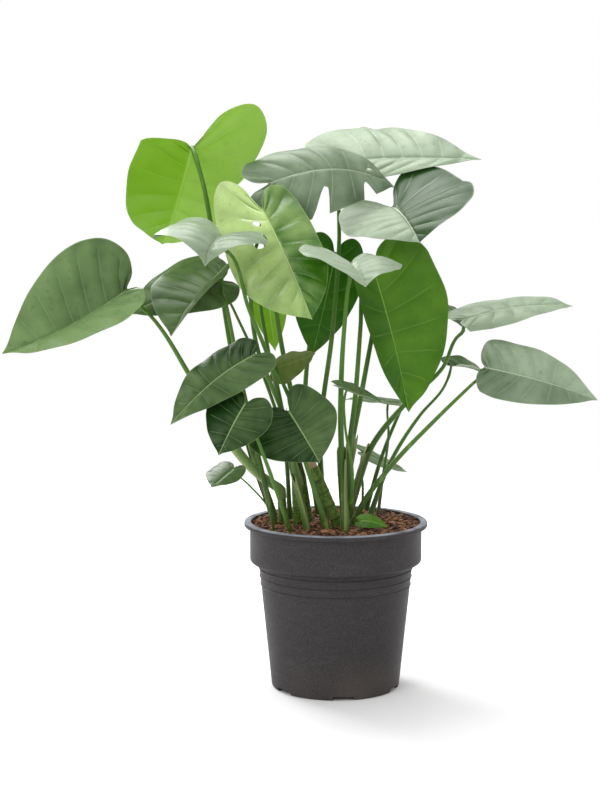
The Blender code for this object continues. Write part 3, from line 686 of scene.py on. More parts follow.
class Finish:
    """A material on a Principled shader."""

    def __init__(self, name, **constants):
        self.material = bpy.data.materials.new(name)
        self.material.use_nodes = True
        self.tree = self.material.node_tree
        self.shader = self.tree.nodes["Principled BSDF"]
        for word, value in constants.items():
            self.shader.inputs[word.replace("_", " ")].default_value = value

    def feed(self, socket, value):
        if isinstance(value, Value):
            value = value.socket
        if isinstance(value, bpy.types.NodeSocket):
            self.tree.links.new(value, socket)
        elif isinstance(value, tuple) and len(value) == 3 and socket.type == "RGBA":
            socket.default_value = (*value, 1)
        else:
            socket.default_value = value

    def add(self, kind, settings, inputs):
        made = self.tree.nodes.new(kind)
        for word, value in settings.items():
            setattr(made, word, value)
        for key, value in inputs.items():
            self.feed(made.inputs[key], value)
        return made

    def attribute(self, name):
        return Value(self, self.add("ShaderNodeAttribute", {"attribute_name": name}, {}).outputs["Fac"])

    def place(self, stretch=(1, 1, 1)):
        """The place on the piece, stretched for long marks."""
        where = self.add("ShaderNodeTexCoord", {}, {}).outputs["Object"]
        return self.add("ShaderNodeMapping", {}, {"Vector": where, "Scale": stretch}).outputs[0]

    def grain(self, scale, detail=2.0, rough=0.5, stretch=(1, 1, 1)):
        inputs = {"Vector": self.place(stretch), "Scale": scale, "Detail": detail, "Roughness": rough}
        return Value(self, self.add("ShaderNodeTexNoise", {}, inputs).outputs[0])

    def mix(self, share, first, second):
        made = self.add("ShaderNodeMix", {"data_type": "RGBA"}, {0: share, 6: first, 7: second})
        return made.outputs[2]

    def paint(self, **inputs):
        for word, value in inputs.items():
            self.feed(self.shader.inputs[word.replace("_", " ")], value)

    def bump(self, height, strength, distance):
        made = self.add(
            "ShaderNodeBump", {}, {"Height": height, "Strength": strength, "Distance": distance}
        )
        self.feed(self.shader.inputs["Normal"], made.outputs[0])

    def glow_through(self, colour, share):
        """Lets part of the light from behind shine through."""
        through = self.add("ShaderNodeBsdfTranslucent", {}, {"Color": colour})
        both = self.add(
            "ShaderNodeMixShader", {},
            {0: share, 1: self.shader.outputs[0], 2: through.outputs[0]},
        )
        self.tree.links.new(both.outputs[0], self.tree.nodes["Material Output"].inputs[0])


def leaf_finish(name, deep, pale, rib, gloss, through, share, shine=0.5):
    """A waxy blade with a pale midrib, fine side veins and a thin pale margin, whose colour also carries
    painted sheen and painted shade: a tone kept per half and towards the tip, and lighter painted sheen
    streaks between the side veins.
    """
    finish = Finish(name, Specular_IOR_Level=shine)
    reach = finish.attribute("reach")
    patches = finish.grain(26, 3.0)
    mottle = finish.grain(160, 3.0)
    veins = finish.attribute("veins").wave()
    # Painted light: the kept tone is sheen and shade painted on each half and towards the tip, and the veins
    # term paints sheen streaks between the side veins; the patches are random tone.
    tone = finish.attribute("tone") + patches * 0.9 + veins * 0.16 + (-0.58)
    colour = finish.mix(tone, deep, pale)
    colour = finish.mix(mottle.rise(0.55, 0.8) * 0.3, colour, tuple(0.6 * part for part in deep))
    side_vein = (1 - veins.rise(0.0, 0.09)) * (1 - reach.rise(0.7, 0.95))
    colour = finish.mix(side_vein * 0.35, colour, rib)
    colour = finish.mix(1 - finish.attribute("nerve").rise(0.55, 1.1), colour, rib)
    colour = finish.mix(reach.rise(0.975, 0.995) * 0.4, colour, rib)
    finish.paint(Base_Color=colour, Roughness=mottle * 0.16 + patches * 0.1 + (gloss - 0.12))
    finish.bump(finish.grain(700, 2.0) * 0.4 + mottle, 0.25, 0.0003)
    finish.glow_through(through, share)
    return finish.material


def skin_finish(name, low, high, pale, gloss):
    """Stem skin, from the colour at the foot to the colour at the top, with long fine streaks."""
    finish = Finish(name, Specular_IOR_Level=0.25)
    place = finish.attribute("place")
    streaks = finish.grain(150, 3.0, 0.6, (1, 1, 0.12))
    flecks = finish.grain(900, 2.0)
    colour = finish.mix(place.rise(0.05, 0.6), low, high)
    colour = finish.mix(streaks.rise(0.52, 0.78) * 0.5, colour, pale)
    colour = finish.mix(flecks.rise(0.66, 0.76) * 0.5, colour, tuple(0.5 * part for part in low))
    finish.paint(Base_Color=colour, Roughness=streaks * 0.2 + (gloss - 0.1))
    finish.bump(streaks + flecks * 0.3, 0.2, 0.0004)
    return finish.material


def cane_finish(name):
    """Old stem skin with a dark ring at each leaf scar."""
    finish = Finish(name, Specular_IOR_Level=0.2)
    rings = finish.attribute("rings")
    bark = finish.grain(240, 4.0, 0.65)
    streaks = finish.grain(120, 3.0, 0.6, (1, 1, 0.15))
    colour = finish.mix(bark.rise(0.35, 0.7), (0.040, 0.085, 0.008), (0.12, 0.21, 0.03))
    colour = finish.mix(streaks.rise(0.5, 0.75) * 0.35, colour, (0.20, 0.21, 0.08))
    scar = 1 - rings.wave().rise(0.02, 0.16)
    colour = finish.mix(scar * 0.8, colour, (0.045, 0.035, 0.015))
    finish.paint(Base_Color=colour, Roughness=bark * 0.3 + 0.42)
    finish.bump(bark + streaks * 0.5, 0.4, 0.0006)
    return finish.material


def sheath_finish(name, body, edge):
    """Thin dry wrapping, browner and more papery at its edges and its top."""
    finish = Finish(name, Specular_IOR_Level=0.3)
    reach = finish.attribute("reach")
    place = finish.attribute("place")
    streaks = finish.grain(260, 3.0, 0.6, (1, 1, 0.08))
    pale_edge_band = reach.rise(0.55, 0.95) + place.rise(0.75, 1.0)
    colour = finish.mix(pale_edge_band.maths("MINIMUM", pale_edge_band, 1.0), body, edge)
    colour = finish.mix(streaks.rise(0.5, 0.75) * 0.5, colour, tuple(0.6 * part for part in edge))
    finish.paint(Base_Color=colour, Roughness=streaks * 0.3 + 0.4)
    finish.bump(streaks, 0.4, 0.0004)
    finish.glow_through(body, 0.12)
    return finish.material


def pot_finish(name, lip_height):
    """Charcoal moulded plastic: fine speckle, faint scuffs and a pale bluish band painted along the top of
    the lip as its highlight.
    """
    finish = Finish(name, Specular_IOR_Level=0.1)
    speckle = finish.grain(1500, 2.0, 0.6)
    scuffs = finish.grain(36, 5.0, 0.7, (1, 1, 2.5))
    dust = finish.grain(9, 3.0)
    where = finish.add("ShaderNodeSeparateXYZ", {}, {"Vector": finish.place()})
    height = Value(finish, where.outputs["Z"])
    colour = finish.mix(speckle.rise(0.35, 0.7), (0.022, 0.0195, 0.0205), (0.062, 0.056, 0.058))
    colour = finish.mix(scuffs.rise(0.5, 0.75) * 0.12, colour, (0.12, 0.112, 0.108))
    low_dust = (1 - height.rise(0.0, 0.06)) * dust.rise(0.4, 0.7)
    colour = finish.mix(low_dust * 0.25, colour, (0.14, 0.115, 0.09))
    # Painted highlight: a pale bluish grey along the top of the lip, broken up by the scuff pattern.
    pale_edge_band = height.rise(lip_height - 0.0016, lip_height - 0.0002) * scuffs.rise(0.25, 0.6)
    colour = finish.mix(pale_edge_band * 0.75, colour, (0.33, 0.35, 0.40))
    finish.paint(Base_Color=colour, Roughness=scuffs * 0.2 + speckle * 0.12 + 0.34)
    finish.bump(speckle, 0.25, 0.0003)
    return finish.material


def earth_finish(name, dark, light, straw):
    """Crumbly fibre and bark, with lighter strands among dark crumbs."""
    finish = Finish(name, Specular_IOR_Level=0.2)
    crumbs = finish.grain(420, 5.0, 0.7)
    strands = finish.grain(300, 3.0, 0.6, (1, 0.2, 1))
    patches = finish.grain(45, 3.0)
    colour = finish.mix(crumbs.rise(0.35, 0.68), dark, light)
    colour = finish.mix(strands.rise(0.58, 0.72) * 0.6, colour, straw)
    colour = finish.mix(patches.rise(0.45, 0.75) * 0.4, colour, tuple(0.5 * part for part in dark))
    finish.paint(Base_Color=colour, Roughness=crumbs * 0.2 + 0.75)
    finish.bump(crumbs + strands * 0.5, 0.8, 0.0015)
    return finish.material


def chip_finish(name, dark, light):
    """Bark or fibre that varies from crumb to crumb."""
    finish = Finish(name, Specular_IOR_Level=0.25)
    tone = finish.attribute("tone")
    grain = finish.grain(600, 3.0, 0.6)
    colour = finish.mix(tone, dark, light)
    colour = finish.mix(grain.rise(0.5, 0.8) * 0.4, colour, tuple(0.45 * part for part in dark))
    finish.paint(Base_Color=colour, Roughness=grain * 0.2 + 0.65)
    finish.bump(grain, 0.5, 0.0006)
    return finish.material


# Modelling helpers


def coordinates(mesh):
    flat = np.empty(3 * len(mesh.vertices))
    mesh.vertices.foreach_get("co", flat)
    return flat.reshape(-1, 3)


def move_points(mesh, points):
    mesh.vertices.foreach_set("co", np.asarray(points, np.float32).ravel())
    mesh.update()


def keep_values(mesh, name, values):
    """Keeps a number at each point of a mesh, for its material to read."""
    store = mesh.attributes.new(name, "FLOAT", "POINT")
    store.data.foreach_set("value", np.asarray(values, np.float32).ravel())


def choose(*pieces):
    """Selects these pieces only and makes the first of them the active one."""
    bpy.ops.object.select_all(action="DESELECT")
    for piece in pieces:
        piece.select_set(True)
    bpy.context.view_layer.objects.active = pieces[0]


def put_in_scene(thing):
    bpy.context.scene.collection.objects.link(thing)


def new_piece(name):
    """Names the piece that an add operator has just made."""
    piece = bpy.context.object
    piece.name = name
    piece.data.name = name
    return piece


def cloth_of_points(name, columns, rows, shape):
    """A grid carried point by point to shape(across, along), both from 0 to 1, which also gives the
    numbers to keep at each point."""
    bpy.ops.object.select_all(action="DESELECT")
    bpy.ops.mesh.primitive_grid_add(x_subdivisions=columns, y_subdivisions=rows, size=1)
    piece = new_piece(name)
    flat = coordinates(piece.data) + 0.5
    points, kept = shape(flat[:, 0], flat[:, 1])
    move_points(piece.data, points)
    for word, values in kept.items():
        keep_values(piece.data, word, values)
    return piece


def close_up(fill_ends):
    """Joins doubled points and, for a tube, closes its ends."""
    bpy.ops.object.mode_set(mode="EDIT")
    bpy.ops.mesh.select_all(action="SELECT")
    bpy.ops.mesh.remove_doubles(threshold=DOUBLED)
    if fill_ends:
        bpy.ops.mesh.fill_holes(sides=0)
        bpy.ops.mesh.select_all(action="SELECT")
        bpy.ops.mesh.normals_make_consistent(inside=False)
    bpy.ops.object.mode_set(mode="OBJECT")


def apply_modifier(piece, kind, **settings):
    bpy.context.view_layer.objects.active = piece
    made = piece.modifiers.new(kind.title(), kind)
    for word, value in settings.items():
        setattr(made, word, value)
    bpy.ops.object.modifier_apply(modifier=made.name)


def finish_piece(piece, materials, nodes=()):
    """Gives the piece its materials, sets it on the plant and stands it in for its solids."""
    for made in materials:
        piece.data.materials.append(made)
    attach(piece, "root")
    if nodes:
        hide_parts(*nodes)


def blade_side_values(blade, side, along, reach):
    """How far from the midrib each point of one half lies, in metres."""
    which = 0 if side < 0 else 1
    return smooth_curve(HALF_BLADE, along)[:, 0] * reach * blade.half[which]


def add_blade(name, blade, look, finishes):
    """A blade with sunken veins, a waving margin and its holes and splits."""
    rng = random.Random(name)
    phase = rng.uniform(0, 2 * math.pi)
    size = np.linalg.norm(np.subtract(blade.tip, blade.base))
    small = size < SMALL_BLADE
    columns = BLADE_COLUMNS // 2 if small else BLADE_COLUMNS
    rows = BLADE_ROWS // 2 if small else BLADE_ROWS
    holes = []

    def shape(across, along):
        u = 2 * across - 1
        points = np.zeros((len(u), 3))
        reach = np.abs(u) ** 1.2
        along = along.copy()
        from_rib = np.zeros(len(u))
        for side in (-1, 1):
            here = u <= 0 if side < 0 else u > 0
            for hole_side, s, r, long, wide in look.holes:
                if hole_side != side:
                    continue
                ds, dr = (along[here] - s) / long, (reach[here] - r) / wide
                far = np.hypot(ds, dr)
                holes.append(np.flatnonzero(here)[far < 0.72])
                snap = np.where((far < 1) & (far > 0.3), 1 / np.maximum(far, 0.3), 1)
                along[here] = s + ds * snap * long
                reach[here] = r + dr * snap * wide
            a, b = along[here], reach[here]
            for split_side, s, half_width, depth in look.splits:
                if split_side == side:
                    gap = np.clip(1 - ((a - s) / half_width) ** 2, 0, 1)
                    b = b * (1 - depth * np.sqrt(gap))
            flat = blade_points(blade, side, a, b)
            step = 1e-3
            ahead = blade_points(blade, side, np.minimum(a + step, 1), b)
            ahead = ahead - blade_points(blade, side, np.maximum(a - step, 0), b)
            beside = blade_points(blade, side, a, b + step)
            beside = beside - blade_points(blade, side, a, np.maximum(b - step, 0))
            upward = np.cross(beside * side, ahead)
            upward /= np.maximum(np.linalg.norm(upward, axis=1, keepdims=True), 1e-12)
            from_rib[here] = blade_side_values(blade, side, a, b)
            bulge = np.abs(np.sin(math.pi * a * look.veins)) ** 0.6 - 0.55
            body = np.sin(math.pi * np.clip(b, 0, 1) ** 0.8) * np.clip(6 * (1 - a), 0, 1)
            relief = VEIN_RELIEF * size * bulge * body
            hollow = np.exp(-((from_rib[here] / NERVE_HOLLOW) ** 2))
            relief -= NERVE_DEPTH * hollow * np.clip(4 * (1 - a), 0, 1)
            wave = np.sin(2 * math.pi * 2.6 * a + phase + side) + 0.5 * np.sin(2 * math.pi * 6.1 * a + phase)
            relief += look.wave * wave * b**3 * np.clip(5 * a, 0, 1) * np.clip(4 * (1 - a), 0, 1)
            points[here] = flat + upward * relief[:, None]
        # Painted light: the tone kept on each half and towards the tip makes the blade paler where sheen is
        # painted and darker where shade is painted.
        left, right, tip = look.pale
        over = np.clip(0.5 + 8 * u, 0, 1)
        kept = {
            "reach": reach,
            "nerve": from_rib / (NERVE_WIDTH * (1 - 0.75 * along)),
            "veins": along * look.veins,
            "tone": left * (1 - over) + right * over + tip * along,
        }
        return points + (0, 0, SOIL_LEVEL), kept

    piece = cloth_of_points("leaf_" + name + "_blade", 2 * columns, rows, shape)
    if holes:
        gone = set(np.concatenate(holes).tolist())
        form = bmesh.new()
        form.from_mesh(piece.data)
        form.verts.ensure_lookup_table()
        bmesh.ops.delete(form, geom=[form.verts[k] for k in gone], context="VERTS")
        form.to_mesh(piece.data)
        form.free()
    close_up(False)
    apply_modifier(
        piece, "SOLIDIFY", thickness=BLADE_THICKNESS, offset=0, material_offset=1, use_quality_normals=True
    )
    bpy.ops.object.shade_smooth_by_angle(angle=math.radians(50))
    top, under = finishes[look.finish]
    finish_piece(piece, [top, under], ["leaf_" + name])


def turning_frames(route):
    """Two directions across the route at each of its points, which don't twist round it."""
    ahead = unit(np.gradient(route, axis=0))
    side = np.array((1.0, 0.0, 0.0))
    sides = []
    for heading in ahead:
        side = unit(side - side.dot(heading) * heading)
        sides.append(side)
    sides = np.array(sides)
    return sides, np.cross(ahead, sides)


def round_directions(angle, sides, backs):
    """The way out from a stem's middle at an angle round it."""
    return np.cos(angle)[:, None] * sides + np.sin(angle)[:, None] * backs


def add_stem(name, route, radii, groove, keep, materials, nodes):
    """A round stem with its ends closed and a shallow groove along its face."""
    sides, backs = turning_frames(route)

    def shape(across, along):
        ring = np.rint(along * (len(route) - 1)).astype(int)
        angle = 2 * math.pi * across
        off_groove = np.angle(np.exp(1j * (angle + math.pi / 2)))
        radius = radii[ring] * (1 - groove * np.exp(-((off_groove / 0.55) ** 2)))
        points = route[ring] + radius[:, None] * round_directions(angle, sides[ring], backs[ring])
        return points + (0, 0, SOIL_LEVEL), {keep: along * (RINGS_ON_CANE if keep == "rings" else 1)}

    piece = cloth_of_points(name, STALK_SIDES, len(route) - 1, shape)
    close_up(True)
    bpy.ops.object.shade_smooth_by_angle(angle=math.radians(60))
    finish_piece(piece, materials, nodes)


def add_stalk(name, materials):
    """A leaf stalk that grows out of the soil or its cane, with a swollen joint under its blade."""
    places = np.linspace(0, 1, STALK_RINGS)
    route = stalk_route(name, places)
    radii = stalk_radii(name, places)
    heading = unit(route[1] - route[0])
    route = np.vstack([route[0] - FOOT_DEPTH * heading, route])
    radii = np.concatenate([radii[:1], radii])
    run = np.linspace(0, 1, len(route))
    radii = radii * (1 + JOINT_SWELL * np.exp(-(((run - 0.95) / 0.022) ** 2)))
    node = "stalk_" + name
    add_stem(node + "_skin", route, radii, STALK_GROOVE, "place", materials, [node])


def add_cane(name, materials):
    """A short thick stem with a raised ring at each old leaf scar."""
    low, high = cane_route(name)
    cane = CANES[name]
    heading = unit(high - low)
    run = np.linspace(0, 1, 60)
    route = low - FOOT_DEPTH * heading + run[:, None] * (high - low + (FOOT_DEPTH + 0.001) * heading)
    scar = np.exp(-(((run * RINGS_ON_CANE) % 1 - 0.06) / 0.07) ** 2)
    radii = cane.radius * (1 - (1 - CANE_TAPER) * run) * (0.96 + 0.08 * scar)
    radii[-2:] *= (0.94, 0.7)
    add_stem("cane_" + name + "_skin", route, radii, 0, "rings", materials, ["cane_" + name])


def add_sheath(name, share, materials):
    """A thin wrapping round the lower part of a stalk, open along the front and torn at its top."""
    places = np.linspace(0, share, 40)
    route = stalk_route(name, places)[:-1]
    radii = stalk_radii(name, places)[:-1]
    sides, backs = turning_frames(route)
    rng = random.Random(name + " sheath")
    opening = rng.uniform(0, 2 * math.pi)
    phase = rng.uniform(0, 6)

    def shape(across, along):
        u = 2 * across - 1
        torn = 1 - 0.10 * (1 + np.sin(9 * u + phase)) * np.abs(u)
        spot = along * torn * (len(route) - 1)
        ring = np.minimum(spot.astype(int), len(route) - 2)
        part = (spot - ring)[:, None]
        middle = route[ring] * (1 - part) + route[ring + 1] * part
        angle = opening + u * np.radians(150 - 50 * along)
        lift = 0.0005 + 0.0016 * along**2 + 0.0012 * np.abs(u) ** 3 * along
        radius = (radii[ring] + lift)[:, None]
        outward = round_directions(angle, sides[ring], backs[ring])
        return middle + radius * outward + (0, 0, SOIL_LEVEL), {"reach": np.abs(u), "place": along}

    piece = cloth_of_points("sheath_" + name, 16, 36, shape)
    apply_modifier(piece, "SOLIDIFY", thickness=SHEATH_THICKNESS, offset=0)
    bpy.ops.object.shade_smooth_by_angle(angle=math.radians(60))
    finish_piece(piece, materials)


def turned_piece(name, profile):
    """A ring drawn up, out and in through a profile of (radius, height), closed by its two end faces."""
    bpy.ops.object.select_all(action="DESELECT")
    radius, height = profile[0]
    bpy.ops.mesh.primitive_circle_add(
        vertices=POT_SEGMENTS, radius=radius, fill_type="NGON", location=(0, 0, height)
    )
    piece = new_piece(name)
    bpy.ops.object.transform_apply()
    bpy.ops.object.mode_set(mode="EDIT")
    bpy.ops.mesh.select_all(action="SELECT")
    for next_radius, next_height in profile[1:]:
        rise = {"value": (0, 0, next_height - height)}
        bpy.ops.mesh.extrude_region_move(TRANSFORM_OT_translate=rise)
        share = next_radius / radius
        bpy.ops.transform.resize(value=(share, share, 1), center_override=(0, 0, next_height))
        radius, height = next_radius, next_height
    bpy.ops.mesh.select_all(action="SELECT")
    bpy.ops.mesh.normals_make_consistent(inside=False)
    bpy.ops.object.mode_set(mode="OBJECT")
    return piece


def body_radius(height):
    """The pot's outer radius below its collar."""
    return BASE_RADIUS + (BODY_RADIUS - BASE_RADIUS) * height / SHOULDER


def inner_radius(height):
    """The pot's inner radius, a wall's thickness inside the body and the collar."""
    if height <= SHOULDER:
        return body_radius(height) - POT_WALL
    blend = min((height - SHOULDER) / SHOULDER_RISE, 1)
    return BODY_RADIUS + (COLLAR_RADIUS - BODY_RADIUS) * blend - POT_WALL


def arc(middle, radius, start, end, steps):
    """Points (radius, height) round a corner, between two angles in degrees."""
    angles = np.radians(np.linspace(start, end, steps))
    return [(middle[0] + radius * math.cos(a), middle[1] + radius * math.sin(a)) for a in angles]


def pot_profile():
    """Up the outside from the underside, over the lip and down the inside to the floor."""
    foot = body_radius(BASE_ROUND)
    profile = [(CHANNEL_START / 2, 0), *arc((foot - BASE_ROUND, BASE_ROUND), BASE_ROUND, -90, 0, 5)]
    for rib in reversed(range(RIB_COUNT)):
        middle = SHOULDER - RIB_SPACING * (rib + 0.5)
        for lift in np.linspace(-2.5, 1.5, 13):
            swell = math.exp(-(lift**2)) if lift < 0 else math.exp(-((2 * lift) ** 2))
            height = middle + lift * RIB_DEPTH
            profile.append((body_radius(height) + RIB_DEPTH * (1.3 * swell - 0.3), height))
    profile.append((BODY_RADIUS, SHOULDER - 2 * RIB_DEPTH))
    turn = (BODY_RADIUS + SHOULDER_ROUND / 4, SHOULDER - 2 * RIB_DEPTH)
    profile += arc(turn, SHOULDER_ROUND / 4, 180, 100, 4)
    corner = (COLLAR_RADIUS - SHOULDER_ROUND, SHOULDER + 1.5 * SHOULDER_ROUND)
    profile += arc(corner, SHOULDER_ROUND, -75, 0, 7)
    under = POT_HEIGHT - LIP_HEIGHT
    profile += arc((COLLAR_RADIUS + LIP_ROUND, under - LIP_ROUND), LIP_ROUND, 180, 90, 4)
    profile += arc((RIM_RADIUS - LIP_ROUND, under + LIP_ROUND), LIP_ROUND, -90, 0, 5)
    profile += arc((RIM_RADIUS - LIP_ROUND, POT_HEIGHT - LIP_ROUND), LIP_ROUND, 0, 90, 6)
    inside = inner_radius(POT_HEIGHT)
    profile += arc((inside + LIP_ROUND, POT_HEIGHT - LIP_ROUND), LIP_ROUND, 90, 180, 6)
    for height in (SHOULDER + SHOULDER_RISE, SHOULDER, POT_FLOOR):
        profile.append((inner_radius(height), height))
    profile.append((CHANNEL_START / 2, POT_FLOOR))
    return profile


def ring_of_copies(piece, count):
    """Copies the piece round the axis and joins the copies into it."""
    copies = [piece]
    for step in range(1, count):
        copy = piece.copy()
        copy.data = piece.data.copy()
        copy.rotation_euler.z = 2 * math.pi * step / count
        put_in_scene(copy)
        copies.append(copy)
    choose(*copies)
    bpy.ops.object.join()
    bpy.ops.object.transform_apply()
    return piece


def cut_away(piece, cutter):
    apply_modifier(piece, "BOOLEAN", operation="DIFFERENCE", solver="EXACT", object=cutter)
    bpy.data.objects.remove(cutter)


def add_pot(materials):
    pot = turned_piece("pot_shell", pot_profile())
    heading = CHANNEL_TURN - math.pi / 2
    outward = Vector((math.cos(heading), math.sin(heading), 0))
    length = BASE_RADIUS + CHANNEL_WIDTH - CHANNEL_START
    bpy.ops.mesh.primitive_cube_add(
        size=1, location=outward * (CHANNEL_START + length / 2), rotation=(0, 0, heading),
        scale=(length, CHANNEL_WIDTH, 2 * CHANNEL_HEIGHT),
    )
    channel = new_piece("channel_cutter")
    bpy.ops.object.transform_apply()
    cut_away(pot, ring_of_copies(channel, CHANNEL_COUNT))
    bpy.ops.mesh.primitive_cylinder_add(
        vertices=32, radius=DRAIN_RADIUS, depth=8 * CHANNEL_HEIGHT,
        location=outward * (CHANNEL_START + CHANNEL_WIDTH / 2),
    )
    drain = new_piece("drain_cutter")
    bpy.ops.object.transform_apply()
    cut_away(pot, ring_of_copies(drain, CHANNEL_COUNT))
    choose(pot)
    bpy.ops.object.shade_smooth_by_angle(angle=math.radians(40))
    finish_piece(pot, materials, ["pot"])


def soil_top(x, y):
    """The height of the lumpy soil at a place, which never dips to the edge."""
    out = math.hypot(x, y)
    lump = noise.fractal(Vector((55 * x, 55 * y, 3.1)), 0.8, 2.1, 4)
    lump += 0.5 * noise.noise(Vector((230 * x, 230 * y, 7.7)))
    edge = min(1, max(0, (inner_radius(SOIL_LEVEL) - out) / 0.008))
    return SOIL_LEVEL + soil_height(out) + SOIL_LUMP * (0.4 + lump) * (0.35 + 0.65 * edge)


def add_soil(materials):
    bottom = POT_FLOOR + CLEARANCE
    edge = inner_radius(SOIL_LEVEL) - CLEARANCE
    profile = [(DRAIN_RADIUS, bottom)]
    for height in (bottom, SHOULDER, SHOULDER + SHOULDER_RISE):
        profile.append((inner_radius(height) - CLEARANCE, height))
    for share in np.linspace(1, 0.02, SOIL_RINGS):
        profile.append((share * edge, SOIL_LEVEL - 0.001))
    soil = turned_piece("soil_bed", profile)
    points = coordinates(soil.data)
    for point in points:
        if point[2] > SOIL_LEVEL - 0.002:
            point[2] = soil_top(point[0], point[1])
    move_points(soil.data, points)
    bpy.ops.object.shade_smooth_by_angle(angle=math.radians(60))
    finish_piece(soil, materials, ["soil"])


def scatter(name, template, count, size_range, seed, materials):
    """Copies of a small crumb strewn over the soil as one piece, each turned, sized and toned."""
    rng = random.Random(seed)
    start = coordinates(template.data)
    faces = [tuple(face.vertices) for face in template.data.polygons]
    points, all_faces, tones = [], [], []
    reach = inner_radius(SOIL_LEVEL) - 0.004
    for _ in range(count):
        out = reach * math.sqrt(rng.random())
        turn = rng.uniform(0, 2 * math.pi)
        x, y = out * math.cos(turn), out * math.sin(turn)
        spin = rng.uniform(0, 2 * math.pi)
        tip, roll = rng.gauss(0, 0.35), rng.gauss(0, 0.35)
        c, s = math.cos(spin), math.sin(spin)
        facing = np.array(((c, -s, 0), (s, c, 0), (-c * tip - s * roll, s * tip - c * roll, 1)))
        scale = rng.uniform(*size_range) * np.array((rng.uniform(0.7, 1.3), rng.uniform(0.6, 1.3), 1))
        lift = (0, 0, soil_top(x, y) + rng.uniform(-0.0002, 0.0018))
        first = len(points) * len(start)
        points.append((start * scale) @ facing.T + (x, y, 0) + lift)
        all_faces += [tuple(first + k for k in face) for face in faces]
        tones += [rng.random()] * len(start)
    mesh = bpy.data.meshes.new(name)
    mesh.from_pydata(np.vstack(points).tolist(), [], all_faces)
    mesh.update()
    keep_values(mesh, "tone", tones)
    piece = bpy.data.objects.new(name, mesh)
    put_in_scene(piece)
    bpy.data.objects.remove(template)
    finish_piece(piece, materials)


def bark_chip():
    """A flat crumb of bark with broken edges."""
    bpy.ops.object.select_all(action="DESELECT")
    bpy.ops.mesh.primitive_cube_add(size=1, scale=CHIP_SIZE)
    chip = new_piece("chip")
    bpy.ops.object.transform_apply()
    bpy.ops.object.mode_set(mode="EDIT")
    bpy.ops.mesh.select_all(action="SELECT")
    bpy.ops.mesh.bevel(offset=CHIP_EDGE, segments=1)
    bpy.ops.object.mode_set(mode="OBJECT")
    return chip


def fibre():
    """One thin curved strand."""

    def shape(across, along):
        angle = 2 * math.pi * across
        thin = FIBRE_RADIUS * np.sin(math.pi * np.clip(along, 0.04, 0.96)) ** 0.5
        bow = along - 0.5
        aside = 0.005 * (bow**2 - 0.1) + thin * np.cos(angle)
        up = 0.002 * (0.2 - bow**2) + thin * np.sin(angle)
        return np.stack([FIBRE_LENGTH * bow, aside, up], axis=1), {}

    strand = cloth_of_points("strand", 4, 7, shape)
    close_up(True)
    return strand


# The object

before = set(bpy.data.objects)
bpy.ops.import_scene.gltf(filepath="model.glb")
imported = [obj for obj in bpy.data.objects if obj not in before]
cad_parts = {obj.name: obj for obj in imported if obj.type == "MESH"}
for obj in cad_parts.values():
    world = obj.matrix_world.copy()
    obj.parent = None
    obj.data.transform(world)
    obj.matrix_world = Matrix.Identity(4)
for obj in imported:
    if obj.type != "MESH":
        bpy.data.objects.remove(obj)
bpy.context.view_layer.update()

POT_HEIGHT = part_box("pot")[1].z
RIM_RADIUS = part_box("pot")[1].x
COLLAR_RADIUS = RIM_RADIUS - LIP_OVERHANG
BODY_RADIUS = COLLAR_RADIUS - SHOULDER_STEP
BASE_RADIUS = BODY_RADIUS - BODY_TAPER
SHOULDER = POT_HEIGHT - COLLAR_DEPTH
SOIL_LEVEL = POT_HEIGHT - SOIL_DROP
POT_FLOOR = CHANNEL_HEIGHT + CHANNEL_ROOF

finishes = {}
for finish_name, sides in LEAF_COLOURS.items():
    upper, under = sides
    finishes[finish_name] = (
        leaf_finish(finish_name + "_leaf", *upper),
        leaf_finish(finish_name + "_leaf_under", *under),
    )
stalk_skin = skin_finish("stalk_skin", (0.040, 0.085, 0.008), (0.06, 0.15, 0.014), (0.20, 0.32, 0.07), 0.4)
cane_skin = cane_finish("cane_skin")
sheaths = {
    "sheath_green": sheath_finish("sheath_green", (0.07, 0.14, 0.022), (0.20, 0.25, 0.08)),
    "sheath_pale": sheath_finish("sheath_pale", (0.16, 0.26, 0.07), (0.34, 0.40, 0.20)),
    "sheath_tan": sheath_finish("sheath_tan", (0.34, 0.24, 0.12), (0.42, 0.28, 0.13)),
}

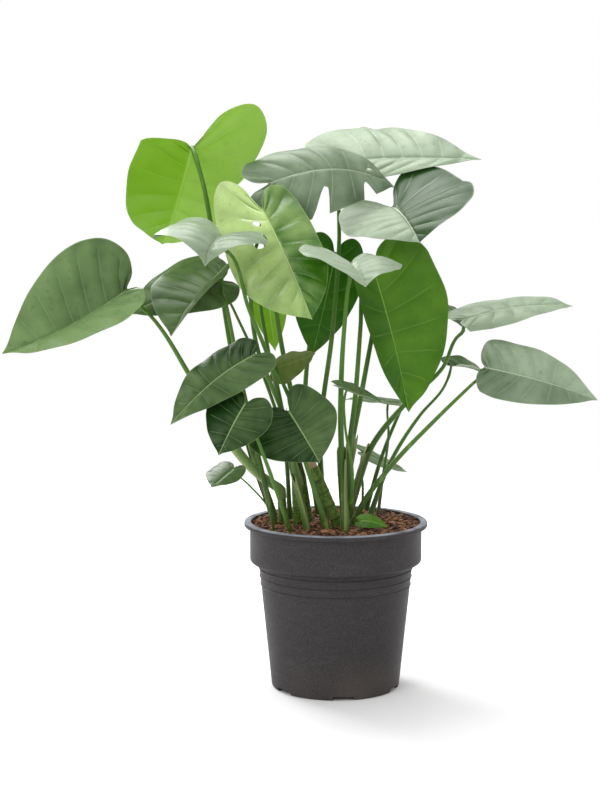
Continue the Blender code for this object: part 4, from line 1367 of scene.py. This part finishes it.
add_pot([pot_finish("pot_plastic", POT_HEIGHT)])
add_soil([earth_finish("soil_earth", (0.050, 0.022, 0.012), (0.17, 0.075, 0.038), (0.30, 0.17, 0.08))])
scatter(
    "soil_chips", bark_chip(), CHIP_COUNT, (0.6, 2.1), CHIP_SEED,
    [chip_finish("bark", (0.040, 0.016, 0.010), (0.34, 0.16, 0.085))],
)
scatter(
    "soil_fibres", fibre(), FIBRE_COUNT, (0.5, 1.4), FIBRE_SEED,
    [chip_finish("coir", (0.16, 0.075, 0.035), (0.46, 0.29, 0.15))],
)
for cane_name in CANES:
    add_cane(cane_name, [cane_skin])
for stalk_name in STALKS:
    add_stalk(stalk_name, [stalk_skin])
for sheath_name, (share, finish_name) in SHEATHS.items():
    add_sheath(sheath_name, share, [sheaths[finish_name]])
for blade_name, blade in BLADES.items():
    add_blade(blade_name, blade, LOOKS[blade_name], finishes)

# The studio

bpy.ops.object.select_all(action="DESELECT")
bpy.ops.mesh.primitive_plane_add(size=FLOOR_SIZE)
floor = new_piece("studio_floor")
paper = Finish("studio_paper", Roughness=0.85, Specular_IOR_Level=0.2)
paper.paint(Base_Color=paper.mix(paper.grain(3, 2.0) * 0.3, (0.86, 0.86, 0.86), (0.82, 0.82, 0.82)))
floor.data.materials.append(paper.material)


def aim(thing, place, target):
    """Sets a lamp or camera at a place and turns it to a target."""
    thing.location = place
    thing.rotation_euler = (Vector(target) - Vector(place)).to_track_quat("-Z", "Y").to_euler()


def add_softbox(name, place, target, size, power):
    light = bpy.data.lights.new(name, "AREA")
    light.shape = "SQUARE"
    light.size = size
    light.energy = power
    lamp = bpy.data.objects.new(name, light)
    aim(lamp, place, target)
    put_in_scene(lamp)


add_softbox("overhead", (-0.3, 0.6, 2.0), (0, 0, 0.4), 1.2, 27)
add_softbox("front_left", (-1.6, -2.0, 1.6), (0, 0, 0.35), 1.0, 19)
add_softbox("behind_left", (-1.2, 1.6, 1.5), (-0.1, 0, 0.5), 1.0, 30)

world = bpy.data.worlds.new("studio")
world.use_nodes = True
backdrop = world.node_tree.nodes["Background"]
backdrop.inputs["Color"].default_value = (1, 1, 1, 1)
backdrop.inputs["Strength"].default_value = 1.0
bpy.context.scene.world = world
bpy.context.scene.view_settings.view_transform = "Standard"

camera_data = bpy.data.cameras.new("camera")
camera_data.lens = CAMERA_LENS
camera_data.sensor_width = 36
camera = bpy.data.objects.new("camera", camera_data)
aim(camera, CAMERA_PLACE, CAMERA_TARGET)
put_in_scene(camera)
bpy.context.scene.camera = camera
